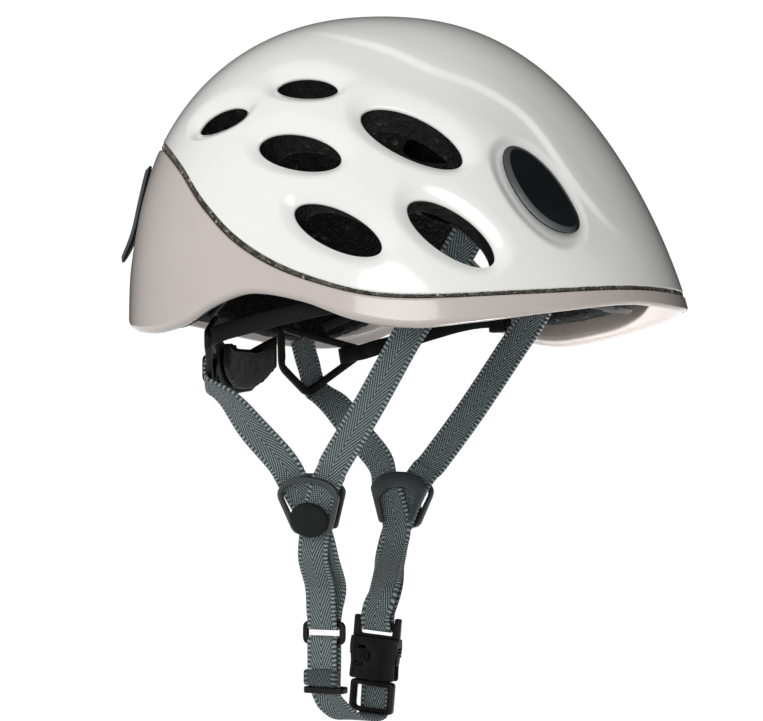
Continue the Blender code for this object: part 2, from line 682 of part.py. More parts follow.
# ---------------------------------------------------------------- side release buckle
BW, BT = 24.0, 7.0
fem = bmesh.new()
plate(round_poly([(-12.0, 7.6), (12.0, 7.6), (12.4, 2.0), (11.2, -4.0), (11.6, -12.6), (-11.6, -12.6), (-11.2, -4.0), (-12.4, 2.0)][::-1], 1.2, 2),
      [], -BT / 2, BT / 2, M_BUC, fem)
female = finish("buckle_female", fem, M_BLACK)
# socket for the male half, open below and at both sides for the squeeze prongs
cut = bmesh.new()
plate(rect(30.0, 16.4, 0, -5.0), [], -2.2, 2.2, M_BUC, cut)
boolean(female, finish("cut_socket", cut, M_BLACK))
cut = bmesh.new()
plate(ellipse(1.5, 3.2, 10, -1.5, 1.6), [], -8, 8, M_BUC, cut)
boolean(female, finish("cut_sight_hole", cut, M_BLACK))
# webbing bar above the body
yoke = bmesh.new()
plate([(-12.0, 7.0), (12.0, 7.0), (12.0, 17.4), (9.0, 17.4), (9.0, 14.8), (-9.0, 14.8), (-9.0, 17.4), (-12.0, 17.4)],
      [rect(16.4, 3.6, 0, 10.6)], -1.2, 1.2, M_BUC, yoke)
boolean(female, finish("join_webbing_bar", yoke, M_BLACK), "UNION")

MALE_TOP = -13.2
MALE_BOT = -28.4
male = finish("buckle_male", plate(round_poly(rect(22.4, MALE_TOP - MALE_BOT, 0, (MALE_TOP + MALE_BOT) / 2), 1.6, 2),
                                   [rect(16.6, 10.6, 0, -20.9)], -1.9, 1.9, M_BUC), M_BLACK)
tongue = bmesh.new()
plate([(-2.6, -14.4), (2.6, -14.4), (2.2, 1.6), (-2.2, 1.6)], [], -1.5, 1.5, M_BUC, tongue)
boolean(male, finish("join_tongue", tongue, M_BLACK), "UNION")
for side, sg in (("front", 1), ("rear", -1)):
    pr = bmesh.new()
    out = [(5.2 * sg, -12.8), (8.0 * sg, -12.8), (8.4 * sg, -6.0), (12.2 * sg, -4.6), (12.4 * sg, 0.6), (9.0 * sg, 2.4), (6.6 * sg, 2.4), (6.0 * sg, -5.0)]
    plate(out if sg > 0 else out[::-1], [], -1.6, 1.6, M_BUC, pr)
    finish(f"buckle_prong_{side}", pr, M_BLACK, origin=tuple(M_BUC @ Vector((6.6 * sg, -12.8, 0))))

# strip from the keeper to the male half and round its lower bar
BOT = M_BUC @ Vector((0, -27.2, 0))
ms = []
for p, w in (((BAR_X + WRAP + 0.1, SLIDER[1] + 0.3, KEEPER_Z - 1.2), (0, -1, 0)),
             ((BAR_X + WRAP + 1.2, SLIDER[1] + 0.1, KEEPER_Z - 3.6), (0, -1, 0)),
             ((-17.0, 28.0, -180.0), (0.1, -1, 0.1)),
             ((-8.0, 25.0, -185.6), (0.1, -1, 0.05)),
             ((3.0, 22.4, -187.6), (0, -1, -0.04)),
             ((BOT.x + 0.6, BOT.y, BOT.z - 2.9), (0, -1, -0.08)),
             ((BOT.x + 3.6, BOT.y - 0.1, BOT.z - 0.6), (0, -1, -0.08)),
             ((BOT.x + 3.7, BOT.y - 0.4, BOT.z + 4.0), (0, -1, -0.08)),
             ((BOT.x + 3.4, BOT.y - 1.0, BOT.z + 11.0), (0, -1, -0.08))):
    ms.append((p[0], p[1], p[2], w[0], w[1], w[2]))
finish("buckle_strap", ribbon(ms, WEB_W, WEB_T, 3), M_WEB, smooth=50)

# ---------------------------------------------------------------- nape cradle
_b = math.radians(BRACKET_TURN)
M_BR = Matrix((Vector((-math.cos(_b), -math.sin(_b), 0)), Vector((0, 0, 1)), Vector((-math.sin(_b), math.cos(_b), 0)))).transposed().to_4x4()
M_BR.translation = Vector((-BRACKET[0], BRACKET[1], BRACKET[2]))
BR_OUT = [(-27.0, 3.0), (-26.0, -20.0), (-8.0, -34.0), (27.5, -13.5), (27.5, -6.6)]
BR_OUTLINE = round_poly(BR_OUT, 4.0, 2)
BR_WINDOW = round_poly(inset_poly(BR_OUT, 3.7), 3.0, 2)
for side in ("right", "left"):
    flip = side == "left"
    finish(f"nape_bracket_{side}", plate(BR_OUTLINE, [BR_WINDOW], -1.2, 1.2, M_BR), M_BLACK, mirror=flip)
    # rear hanger: up from the bracket's inner end, then back to the foam
    st = [(-26.5, 3.7, 0.0), (-26.5, 12.0, 0.0), (-26.0, 22.0, 1.2), (-25.5, 33.0, 6.0), (-25.0, 42.0, 12.0)]
    st = [tuple(M_BR @ Vector(p)) + tuple(M_BR.to_3x3() @ Vector((1, 0, 0))) for p in st]
    finish(f"nape_hanger_rear_{side}", ribbon(st, 7.0, 1.8), M_BLACK, mirror=flip)
    st = [(-60.5, 70.4, 2.2), (-64.5, 65.0, 5.2), (-72.0, 55.0, 10.4), (-79.2, 45.5, 16.0)]
    st = [p + (0.35, 0.25, 0.9) for p in st]
    finish(f"nape_hanger_side_{side}", ribbon(st, 5.0, 1.8), M_BLACK, mirror=flip)
    # head band: from inside the bracket forward to the temple guide
    st = [tuple(M_BR @ Vector(p)) for p in ((12.0, -12.6, -2.5), (20.0, -11.2, -2.5), (28.0, -9.8, -2.6))]
    st += [(-84.2, 50.0, -7.4), (-84.6, 36.0, -4.4), (-82.6, 20.0, -0.6), (-79.2, 4.0, 2.8), (-77.5, -8.0, 4.4), (-77.3, -18.0, 4.6), (-77.1, -25.0, 4.6)]
    st = [tuple(p) + (0, 0.05, 1) for p in st]
    finish(f"head_band_{side}", ribbon(st, 8.0, 1.3), M_BLACK, mirror=flip)
    # temple guide: a staple on the foam that the band slides in
    m = Matrix((Vector((-1, 0, 0)), Vector((0, 0, 1)), Vector((0, 1, 0)))).transposed().to_4x4()
    m.translation = Vector((-78.4, -18.0, 4.6))
    g = [(-3.6, -6.4), (3.2, -6.4), (3.2, 6.4), (-3.6, 6.4)]
    finish(f"temple_guide_{side}", plate(g, [rect(2.6, 9.4, -0.9, 0)], -4.0, 4.0, m), M_BLACK, mirror=flip)


def cradle_y(x):
    return 88.5 - x * x / 170.0


def bent_plate(outline_top, outline_bottom, y_in, y_out, xs, material, name):
    """Plate that follows the cradle's curve: heights are functions of x."""
    b = bmesh.new()
    rings = []
    for x in xs:
        zt, zb = outline_top(x), outline_bottom(x)
        y0 = cradle_y(x)
        rings.append([b.verts.new((x, y0 + y_in, zb)), b.verts.new((x, y0 + y_in, (zt + zb) / 2)), b.verts.new((x, y0 + y_in, zt)),
                      b.verts.new((x, y0 + y_out, zt)), b.verts.new((x, y0 + y_out, (zt + zb) / 2)), b.verts.new((x, y0 + y_out, zb))])
    for a, c in zip(rings[:-1], rings[1:]):
        for k in range(6):
            b.faces.new((a[k], a[(k + 1) % 6], c[(k + 1) % 6], c[k]))
    b.faces.new(rings[0][::-1])
    b.faces.new(rings[-1])
    return finish(name, b, material)


def lerp_table(pts, x):
    x = abs(x)
    for (x0, y0), (x1, y1) in zip(pts[:-1], pts[1:]):
        if x <= x1:
            return y0 + (y1 - y0) * (x - x0) / (x1 - x0)
    return pts[-1][1]


XS = [-31.4 + 62.8 * i / 14 for i in range(15)]
bent_plate(lambda x: lerp_table([(0, -11.0), (13, -11.0), (31.5, -3.6)], x),
           lambda x: lerp_table([(0, -33.0), (13, -31.5), (31.5, -19.0)], x), -1.1, 1.1, XS, M_BLACK, "nape_cradle")
XP = [-25.0 + 50.0 * i / 10 for i in range(11)]
bent_plate(lambda x: lerp_table([(0, -12.0), (14, -12.0), (25, -9.0)], x),
           lambda x: lerp_table([(0, -31.5), (12, -30.5), (25, -22.0)], x), -6.4, -1.5, XP, M_PAD, "nape_pad")

# size wheel on its pin, under a bridge that leaves its rim free above and below
M_WH = Matrix((Vector((-1, 0, 0)), Vector((0, 0, 1)), Vector((0, 1, 0)))).transposed().to_4x4()
M_WH.translation = Vector(WHEEL)
TEETH = 20
knurl = []
for i in range(TEETH * 2):
    a = math.pi * i / TEETH
    r = WHEEL_R if i % 2 else WHEEL_R - 1.0
    knurl.append((r * math.cos(a), r * math.sin(a)))
finish("size_wheel", plate(knurl, [ellipse(2.6, 2.6, 12)], -3.0, 3.0, M_WH), M_BLACK, origin=WHEEL)
finish("wheel_pin", plate(ellipse(2.1, 2.1, 12), [], -3.6, 3.2, M_WH), M_STEEL)
bridge = finish("wheel_bridge", plate(round_poly(rect(33.0, 13.0), 3.0, 2), [], 3.6, 5.2, M_WH), M_BLACK)
for sx in (-1, 1):
    post = plate(rect(2.4, 11.0, sx * 14.8, 0), [], -3.2, 4.4, M_WH)
    boolean(bridge, finish(f"join_post_{'a' if sx < 0 else 'b'}", post, M_BLACK), "UNION")


# ---------------------------------------------------------------- comfort pads
def pad_patch(name, phi0, phi1, z0, z1, d0, d1, nu, nv):
    b = bmesh.new()
    lay = []
    for d in (d0, d1):
        g = []
        for j in range(nv + 1):
            row = []
            for i in range(nu + 1):
                phi = math.radians(phi0 + (phi1 - phi0) * i / nu)
                row.append(b.verts.new(skin_point(phi, z0 + (z1 - z0) * j / nv, d, False)))
            g.append(row)
        lay.append(g)
    for li, g in enumerate(lay):
        for j in range(nv):
            for i in range(nu):
                b.faces.new((g[j][i], g[j][i + 1], g[j + 1][i + 1], g[j + 1][i]))
    a, c = lay
    for i in range(nu):
        b.faces.new((a[0][i], a[0][i + 1], c[0][i + 1], c[0][i]))
        b.faces.new((a[nv][i], a[nv][i + 1], c[nv][i + 1], c[nv][i]))
    for j in range(nv):
        b.faces.new((a[j][0], a[j + 1][0], c[j + 1][0], c[j][0]))
        b.faces.new((a[j][nu], a[j + 1][nu], c[j + 1][nu], c[j][nu]))
    return finish(name, b, M_PAD)


pad_patch("pad_brow", -30, 30, 9.0, 30.0, LINER_DEPTH + 1.5, LINER_DEPTH + 7.0, 12, 2)
pad_patch("pad_rear", 156, 204, 34.0, 62.0, LINER_DEPTH + 1.5, LINER_DEPTH + 7.0, 8, 2)
def roof(x, y):
    """Height of the outside at a plan position."""
    lo, hi = 0.0, CROWN_H
    for _ in range(40):
        mid = (lo + hi) / 2
        if level(Vector((x, y, mid))) < 0:
            lo = mid
        else:
            hi = mid
    return lo


crown = bmesh.new()
rr = []
for d, sc in ((LINER_DEPTH + 1.5, 0.94), (LINER_DEPTH + 4.0, 1.0), (LINER_DEPTH + 7.0, 0.9)):
    ring = []
    for k in range(20):
        a = 2 * math.pi * k / 20
        x, y = 20.0 * sc * math.cos(a), CROWN_Y - 2.0 + 30.0 * sc * math.sin(a)
        ring.append(crown.verts.new((x, y, roof(x, y) - d * 1.04)))
    rr.append(ring)
for a, b in zip(rr[:-1], rr[1:]):
    join_rings(crown, a, b)
fan(crown, rr[-1], crown.verts.new((0, CROWN_Y - 2.0, CROWN_H - LINER_DEPTH - 8.2)))
fan(crown, rr[0][::-1], crown.verts.new((0, CROWN_Y - 2.0, CROWN_H - LINER_DEPTH - 2.2)))
finish("pad_crown", crown, M_PAD)
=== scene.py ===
"""Looks for the climbing helmet: fine shells, foam, clips, straps and harness around the fixed CAD frame."""
import bpy
import bmesh
import json
import math
import numpy as np
from mathutils import Vector, Matrix
from mathutils.geometry import delaunay_2d_cdt

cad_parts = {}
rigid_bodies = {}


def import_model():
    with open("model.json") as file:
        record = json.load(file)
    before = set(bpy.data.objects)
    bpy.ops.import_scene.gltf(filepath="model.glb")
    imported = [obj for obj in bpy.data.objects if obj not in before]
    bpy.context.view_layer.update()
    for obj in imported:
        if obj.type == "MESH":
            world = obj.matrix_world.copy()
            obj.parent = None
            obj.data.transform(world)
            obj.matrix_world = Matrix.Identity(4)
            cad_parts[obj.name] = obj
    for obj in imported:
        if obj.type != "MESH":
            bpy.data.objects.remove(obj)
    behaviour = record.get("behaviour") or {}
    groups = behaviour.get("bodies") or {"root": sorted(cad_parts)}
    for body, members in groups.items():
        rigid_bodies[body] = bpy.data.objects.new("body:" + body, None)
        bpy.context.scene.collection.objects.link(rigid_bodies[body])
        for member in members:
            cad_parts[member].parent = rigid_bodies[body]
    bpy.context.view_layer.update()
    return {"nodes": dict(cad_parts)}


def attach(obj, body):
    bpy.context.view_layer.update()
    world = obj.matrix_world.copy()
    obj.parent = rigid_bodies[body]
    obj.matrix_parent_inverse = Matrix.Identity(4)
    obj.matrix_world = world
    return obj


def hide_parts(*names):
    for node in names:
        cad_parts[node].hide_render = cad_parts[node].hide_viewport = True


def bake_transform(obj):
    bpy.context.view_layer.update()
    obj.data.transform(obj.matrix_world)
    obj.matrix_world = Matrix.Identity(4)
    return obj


for _o in list(bpy.data.objects):
    bpy.data.objects.remove(_o, do_unlink=True)
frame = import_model()
NODES = frame["nodes"]
MM = 0.001

# ------------------------------------------------------------------ camera
SCN = bpy.context.scene
cam_d = bpy.data.cameras.new("camera")
cam = bpy.data.objects.new("camera", cam_d)
SCN.collection.objects.link(cam)
CAM_P = Vector((-0.9841, -0.4266, -0.0611))
CAM_F = Vector((0.9130, 0.4062, 0.0399)).normalized()
_r = CAM_F.cross(Vector((0, 0, 1))).normalized()
_u = _r.cross(CAM_F)
cam.matrix_world = Matrix((( _r.x, _u.x, -CAM_F.x, CAM_P.x), (_r.y, _u.y, -CAM_F.y, CAM_P.y), (_r.z, _u.z, -CAM_F.z, CAM_P.z), (0, 0, 0, 1)))
cam_d.lens = 107.44
cam_d.sensor_width = 36.0
cam_d.clip_start = 0.01
cam_d.clip_end = 50
SCN.camera = cam
SCN.view_settings.view_transform = "Standard"

# ------------------------------------------------------------------ form of the shell (millimetres)
HALF_WIDTH, FRONT_REACH, REAR_REACH, CROWN_H, CROWN_Y = 109.5, 153.0, 117.0, 143.7, 16.4
PLAN_POWER = 1.957
SIDE_POW, FRONT_POW, REAR_POW = (2.18, 2.245), (1.175, 2.52), (2.54, 2.17)
RIM = [(0, 1.6), (15, 2.6), (30, -1.6), (45, -6.4), (58, -8.8), (70, -5.0), (82, 3.2), (95, 7.2),
       (105, 3.0), (115, -4.4), (126, -7.6), (138, -6.6), (150, -3.2), (165, 1.4), (180, 3.0)]
SEAM = [(0, 10.9), (15, 10.7), (35, 7.4), (55, 5.2), (67, 6.8), (80, 13.6), (90, 21.4), (100, 32.6),
        (110, 47.2), (124, 67.0), (140, 79.5), (155, 84.0), (180, 86.0)]
SKIN = 2.2
LINER_DEPTH = 22.0
VENTS = [((-82.2, 55.8, 89.4), 17.1, 7.6, 8.0),
         ((-82.4, 12.2, 101.8), 16.9, 7.3, -10.0),
         ((-98.3, 8.5, 70.5), 22.4, 9.6, -15.0),
         ((-83.8, -40.3, 76.4), 26.6, 11.6, -31.0),
         ((-104.6, -13.5, 34.5), 23.2, 9.6, -26.0),
         ((-89.2, -61.1, 32.6), 23.5, 10.4, -36.0)]
CLIP_FRONT, CLIP_FRONT_ANGLE = (-60.1, -90.8, 51.7), -61.0
CLIP_HALF_LEN, CLIP_HALF_WID, CLIP_THICK, CLIP_SEAT_DEPTH = 24.0, 11.4, 2.6, 3.5
CLIP_REAR_TURN, CLIP_REAR_Z, CLIP_TIP_FLARE, CLIP_PLATE_LO = 28.0, 51.5, 3.4, 2.05
CREASE = [(-46, 34.4, 132.4), (-57.5, 3.1, 126.3), (-59.8, -19.1, 119.3), (-59.8, -39.9, 109.3), (-53, -58.1, 102),
          (-46.1, -75.8, 90.3), (-44.3, -85.8, 79.3), (-43.7, -96.8, 63.4), (-41.3, -104.7, 51.8), (-33.9, -115, 38.5), (-18.1, -124.1, 30.2)]
WEB_W, WEB_T = 15.0, 1.4
DIVIDER, DIVIDER_LEAN = (-52.0, 23.5, -86.0), 14.0
SLIDER = (-25.0, 29.2, -145.2)
BUCKLE, BUCKLE_TILT = (10.5, 19.0, -157.0), 5.0
BRACKET, BRACKET_TURN = (57.5, 71.6, 0.0), 24.0
WHEEL, WHEEL_R = (0.0, 93.6, -21.0), 12.5


def table(knots, deg):
    """Smooth curve through (angle, height) knots, for an array of angles."""
    xs = np.array([k[0] for k in knots], float)
    ys = np.array([k[1] for k in knots], float)
    deg = np.asarray(deg, float)
    i = np.clip(np.searchsorted(xs, deg, side="left") - 1, 0, len(xs) - 2)
    sl = np.zeros(len(xs))
    sl[1:-1] = (ys[2:] - ys[:-2]) / (xs[2:] - xs[:-2])
    h = xs[i + 1] - xs[i]
    t = np.clip((deg - xs[i]) / h, 0, 1)
    return ((2 * t ** 3 - 3 * t * t + 1) * ys[i] + (t ** 3 - 2 * t * t + t) * h * sl[i]
            + (-2 * t ** 3 + 3 * t * t) * ys[i + 1] + (t ** 3 - t * t) * h * sl[i + 1])


def shrink(u, pw):
    return np.maximum(0.0, 1 - np.clip(u, 0.0, 1.0) ** pw[0]) ** (1 / pw[1])


def reach(z):
    u = np.asarray(z, float) / CROWN_H
    return HALF_WIDTH * shrink(u, SIDE_POW), FRONT_REACH * shrink(u, FRONT_POW), REAR_REACH * shrink(u, REAR_POW)


def surface(phi, z):
    phi, z = np.broadcast_arrays(np.asarray(phi, float), np.asarray(z, float))
    a, f, r = reach(z)
    c, s = np.cos(phi), np.sin(phi)
    b = np.maximum(np.where(c >= 0, f, r), 1e-6)
    a = np.maximum(a, 1e-6)
    k = ((np.abs(s) / a) ** PLAN_POWER + (np.abs(c) / b) ** PLAN_POWER) ** (-1 / PLAN_POWER)
    return np.stack([-k * s, CROWN_Y - k * c, z], -1)


def level(p):
    a, f, r = reach(p[..., 2])
    b = np.maximum(np.where(p[..., 1] < CROWN_Y, f, r), 1e-6)
    a = np.maximum(a, 1e-6)
    v = (np.abs(p[..., 0]) / a) ** PLAN_POWER + (np.abs(p[..., 1] - CROWN_Y) / b) ** PLAN_POWER - 1
    return np.where(p[..., 2] >= CROWN_H, 1.0, v)


def unit(v):
    return v / np.maximum(np.linalg.norm(v, axis=-1, keepdims=True), 1e-12)


def normal(p):
    p = np.asarray(p, float)
    e = 0.4
    g = np.stack([level(p + np.array(d) * e) - level(p - np.array(d) * e) for d in ((1, 0, 0), (0, 1, 0), (0, 0, 1))], -1)
    top = (CROWN_H - p[..., 2:3]) < 0.6          # the gradient is steep next to the pole
    g = unit(g)
    up = unit(np.stack([p[..., 0] * 0.0, (p[..., 1] - CROWN_Y) * 0.0, np.ones(p.shape[:-1])], -1))
    return unit(np.where(top, g * 0.0 + up, g))


def frame_of(origin, x, z):
    x = Vector(x).normalized()
    z = Vector(z)
    z = (z - x * z.dot(x)).normalized()
    y = z.cross(x)
    m = Matrix((x, y, z)).transposed().to_4x4()
    m.translation = Vector(origin)
    return m


def tangent_frame(centre, angle):
    n = Vector(normal(np.array(centre, float)))
    fwd = Vector((0, 0, 1)).cross(n)
    if fwd.y > 0:
        fwd = -fwd
    fwd.normalize()
    up = n.cross(fwd)
    if up.z < 0:
        up = -up
    a = math.radians(angle)
    return frame_of(centre, fwd * math.cos(a) + up * math.sin(a), n)


def rear_clip_centre():
    a = np.radians(np.arange(900, 1800) / 10)
    p = surface(a, CLIP_REAR_Z)
    n = normal(p)
    d = np.abs(np.degrees(np.arctan2(-n[:, 0], n[:, 1])) - CLIP_REAR_TURN)
    return tuple(p[int(np.argmin(d))])


CLIP_REAR = rear_clip_centre()


def local(p, m):
    """Coordinates of points in a frame given as a Matrix."""
    c = np.array(m.translation)
    r = np.array(m.to_3x3())
    return (p - c) @ r


# map between the shell and a flat sheet measured along meridians from the crown
_K = 720
_t = np.linspace(0, 1, 420)
_zt = CROWN_H - (CROWN_H + 16.0) * _t ** 2
_ph = np.linspace(0, 2 * np.pi, _K + 1)
_P = surface(_ph[:, None], _zt[None, :])
_P[:, 0, :] = (0, CROWN_Y, CROWN_H)
_L = np.concatenate([np.zeros((_K + 1, 1)), np.cumsum(np.linalg.norm(np.diff(_P, axis=1), axis=-1), axis=1)], 1)
DL = 0.5
_LG = np.arange(0, _L.min(axis=0)[-1], DL)
_PG = np.stack([np.stack([np.interp(_LG, _L[k], _P[k, :, c]) for c in range(3)], -1) for k in range(_K + 1)])


def unroll(p):
    """Shell points to the flat sheet."""
    phi = np.arctan2(-p[..., 0], -(p[..., 1] - CROWN_Y)) % (2 * np.pi)
    f = phi / (2 * np.pi) * _K
    k = np.clip(f.astype(int), 0, _K - 1)
    w = f - k
    flat_z = -p[..., 2].ravel()
    L = np.empty(flat_z.shape)
    kk, ww = k.ravel(), w.ravel()
    for i in range(flat_z.size):
        L[i] = (1 - ww[i]) * np.interp(flat_z[i], -_zt, _L[kk[i]]) + ww[i] * np.interp(flat_z[i], -_zt, _L[kk[i] + 1])
    L = L.reshape(phi.shape)
    return np.stack([-L * np.sin(phi), -L * np.cos(phi)], -1)


def roll(q):
    """Flat sheet to shell points."""
    L = np.hypot(q[..., 0], q[..., 1])
    phi = np.arctan2(-q[..., 0], -q[..., 1]) % (2 * np.pi)
    f = phi / (2 * np.pi) * _K
    k = np.clip(f.astype(int), 0, _K - 1)
    w = (f - k)[..., None]
    g = np.clip(L / DL, 0, len(_LG) - 1.001)
    j = g.astype(int)
    v = (g - j)[..., None]
    a = _PG[k, j] * (1 - v) + _PG[k, j + 1] * v
    b = _PG[k + 1, j] * (1 - v) + _PG[k + 1, j + 1] * v
    return a * (1 - w) + b * w


def sheet_normal(q):
    e = 0.5
    dx = roll(q + np.array([e, 0])) - roll(q - np.array([e, 0]))
    dy = roll(q + np.array([0, e])) - roll(q - np.array([0, e]))
    n = unit(np.cross(dx, dy))
    return np.where(n[..., 2:3] * 0 + (n * (roll(q) - np.array([0, CROWN_Y, 20.0]))).sum(-1, keepdims=True) < 0, -n, n)


def smooth_path(pts, per):
    P = [np.array(p, float) for p in pts]
    P = [2 * P[0] - P[1]] + P + [2 * P[-1] - P[-2]]
    out = []
    for i in range(1, len(P) - 2):
        for k in range(per):
            t = k / per
            a, b, c, d = P[i - 1], P[i], P[i + 1], P[i + 2]
            out.append(0.5 * (2 * b + (c - a) * t + (2 * a - 5 * b + 4 * c - d) * t * t + (3 * b - a - 3 * c + d) * t ** 3))
    out.append(P[-2])
    return np.array(out)


VENT_M = [(tangent_frame(c, ang), a, b) for c, a, b, ang in VENTS]
CLIP_M = [tangent_frame(CLIP_FRONT, CLIP_FRONT_ANGLE), tangent_frame(CLIP_REAR, -90.0)]
CREASE_Q = smooth_path(unroll(np.array(CREASE, float)), 8)


def ellipse_gap(x, y, a, b):
    """Distance outside an ellipse, negative inside."""
    e = np.sqrt((x / a) ** 2 + (y / b) ** 2)
    e = np.maximum(e, 1e-6)
    g = np.sqrt((x / a ** 2) ** 2 + (y / b ** 2) ** 2) / e
    return (e - 1) / np.maximum(g, 1e-6)


def soft(t):
    t = np.clip(t, 0, 1)
    return t * t * (3 - 2 * t)


VENT_DISH = 2.6


def relief(p, q, vents=True, clips=True, crease=True):
    """How far the moulded surface stands off the plain form, in millimetres (inwards negative)."""
    m = p.copy()
    m[..., 0] = -np.abs(m[..., 0])
    mq = q.copy()
    mq[..., 0] = -np.abs(mq[..., 0])
    acc = np.zeros(p.shape[:-1])
    if vents:
        for M, a, b in VENT_M:
            l = local(m, M)
            gap = ellipse_gap(l[..., 0], l[..., 1], a, b)
            up = (unit(np.stack([l[..., 0] / a ** 2, l[..., 1] / b ** 2], -1)) * np.array([M.col[0][2], M.col[1][2]])).sum(-1)
            wide = 5.8 + 2.2 * up
            s = np.clip(gap / wide, -0.4, 1)
            d = VENT_DISH * np.clip(1 - s, 0, 1.4) ** 1.45 * (np.abs(l[..., 2]) < 30)
            acc = acc + d ** 3
    acc = acc ** (1 / 3)
    if clips:
        for M in CLIP_M:
            l = local(m, M)
            gap = ellipse_gap(l[..., 0], l[..., 1], CLIP_HALF_LEN, CLIP_HALF_WID)
            d = np.maximum(0, l[..., 2] + CLIP_SEAT_DEPTH + 0.3) * (1 - soft((gap - 1.4) / 5.2)) * (l[..., 2] > -30)
            acc = np.maximum(acc, d)
    out = -acc
    if crease:
        seg = CREASE_Q
        best = np.full(p.shape[:-1], 1e9)
        side = np.zeros(p.shape[:-1])
        along = np.zeros(p.shape[:-1])
        tot = len(seg) - 1
        for i in range(tot):
            a, b = seg[i], seg[i + 1]
            ab = b - a
            t = np.clip(((mq - a) @ ab) / (ab @ ab), 0, 1)
            dd = mq - (a + t[..., None] * ab)
            dist = np.hypot(dd[..., 0], dd[..., 1])
            cr = ab[0] * (mq[..., 1] - a[1]) - ab[1] * (mq[..., 0] - a[0])
            take = dist < best
            best = np.where(take, dist, best)
            side = np.where(take, np.sign(cr), side)
            along = np.where(take, (i + t) / tot, along)
        ref = np.sign((seg[tot // 2 + 1] - seg[tot // 2])[0] * (-seg[tot // 2][1]) - (seg[tot // 2 + 1] - seg[tot // 2])[1] * (-seg[tot // 2][0]))
        outer = side != ref
        fade = soft(along / 0.22) * soft((1 - along) / 0.25)
        drop = 1.5 * soft(best / 4.5) * (1 - soft((best - 4.0) / 24.0))
        rise = 0.45 * (1 - soft(best / 16.0))
        out = out + fade * np.where(outer, -drop + rise, rise)
    return out


def moulded(q, depth=0.0, **kw):
    """Shell point for a sheet point, with the moulded relief, at a depth under the outside."""
    p = roll(q)
    n = sheet_normal(q)
    return p + n * (relief(p, q, **kw) - depth)[..., None]


def moulded_normal(q, **kw):
    e = 0.35
    dx = moulded(q + np.array([e, 0]), **kw) - moulded(q - np.array([e, 0]), **kw)
    dy = moulded(q + np.array([0, e]), **kw) - moulded(q - np.array([0, e]), **kw)
    n = unit(np.cross(dx, dy))
    o = sheet_normal(q)
    return np.where((n * o).sum(-1, keepdims=True) < 0, -n, n)


# ------------------------------------------------------------------ mesh helpers
def make(name, verts, faces, material, body="root", replaces=(), smooth=True, angle=None, normals=None, attr=None):
    """Mesh in millimetres to a finished piece on a body."""
    me = bpy.data.meshes.new(name)
    me.from_pydata([tuple(v) for v in (np.asarray(verts, float) * MM)], [], [tuple(map(int, f)) for f in faces])
    me.validate(clean_customdata=False)
    me.update()
    vol = 0.0
    me.calc_loop_triangles()
    co = np.zeros(len(me.vertices) * 3)
    me.vertices.foreach_get("co", co)
    co = co.reshape(-1, 3)
    tri = np.zeros(len(me.loop_triangles) * 3, int)
    me.loop_triangles.foreach_get("vertices", tri)
    tri = tri.reshape(-1, 3)
    vol = (co[tri[:, 0]] * np.cross(co[tri[:, 1]], co[tri[:, 2]])).sum()
    if vol < 0:
        me.flip_normals()
    me.materials.append(material)
    if smooth:
        me.shade_smooth()
        if angle:
            me.set_sharp_from_angle(angle=math.radians(angle))
    if attr is not None:
        at = me.attributes.new("weave", "FLOAT_VECTOR", "POINT")
        at.data.foreach_set("vector", np.asarray(attr, np.float32).ravel())
    if normals is not None:
        me.normals_split_custom_set_from_vertices([tuple(v) for v in normals])
    ob = bpy.data.objects.new(name, me)
    SCN.collection.objects.link(ob)
    if body:
        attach(ob, body)
    if replaces:
        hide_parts(*replaces)
    return ob


def mirror_mesh(verts, faces):
    v = np.asarray(verts, float).copy()
    v[:, 0] = -v[:, 0]
    return v, [tuple(f[::-1]) for f in faces]


def strip(a, b, closed=True):
    """Quads between two index loops of equal length."""
    n = len(a)
    return [(a[i], a[(i + 1) % n], b[(i + 1) % n], b[i]) for i in range(n if closed else n - 1)]


class Mesh:
    def __init__(self):
        self.v, self.f = [], []

    def ring(self, pts):
        s = len(self.v)
        self.v.extend([tuple(p) for p in pts])
        return list(range(s, s + len(pts)))

    def join(self, a, b, closed=True):
        self.f.extend(strip(a, b, closed))

    def cap(self, ring, centre=None):
        if centre is None:
            centre = np.mean([self.v[i] for i in ring], axis=0)
        c = len(self.v)
        self.v.append(tuple(centre))
        n = len(ring)
        self.f.extend([(ring[i], ring[(i + 1) % n], c) for i in range(n)])

    def place(self, m):
        self.v = [tuple(m @ Vector(p)) for p in self.v]
        return self


def closed_curve(pts, n, per=16):
    """Smooth closed outline through points, resampled to n even steps."""
    P = [np.array(p, float) for p in pts]
    k = len(P)
    out = []
    for i in range(k):
        a, b, c, d = P[i - 1], P[i], P[(i + 1) % k], P[(i + 2) % k]
        for j in range(per):
            t = j / per
            out.append(0.5 * (2 * b + (c - a) * t + (2 * a - 5 * b + 4 * c - d) * t * t + (3 * b - a - 3 * c + d) * t ** 3))
    return resample(np.array(out), n)


def resample(o, n):
    o = np.vstack([o, o[:1]])
    d = np.concatenate([[0], np.cumsum(np.linalg.norm(np.diff(o, axis=0), axis=1))])
    s = np.linspace(0, d[-1], n, endpoint=False)
    return np.stack([np.interp(s, d, o[:, c]) for c in range(o.shape[1])], -1)


def round_outline(pts, r, n):
    """Polygon with round corners, resampled to n even steps."""
    k = len(pts)
    out = []
    for i in range(k):
        p0, p1, p2 = (np.array(pts[(i + s) % k], float) for s in (-1, 0, 1))
        a, b = p0 - p1, p2 - p1
        la, lb = np.linalg.norm(a), np.linalg.norm(b)
        rr = r[i] if isinstance(r, (list, tuple)) else r
        d = min(rr, la * 0.48, lb * 0.48)
        s, e = p1 + a / la * d, p1 + b / lb * d
        for j in range(9):
            t = j / 8
            out.append(s * (1 - t) ** 2 + p1 * 2 * t * (1 - t) + e * t * t)
    return resample(np.array(out), n)


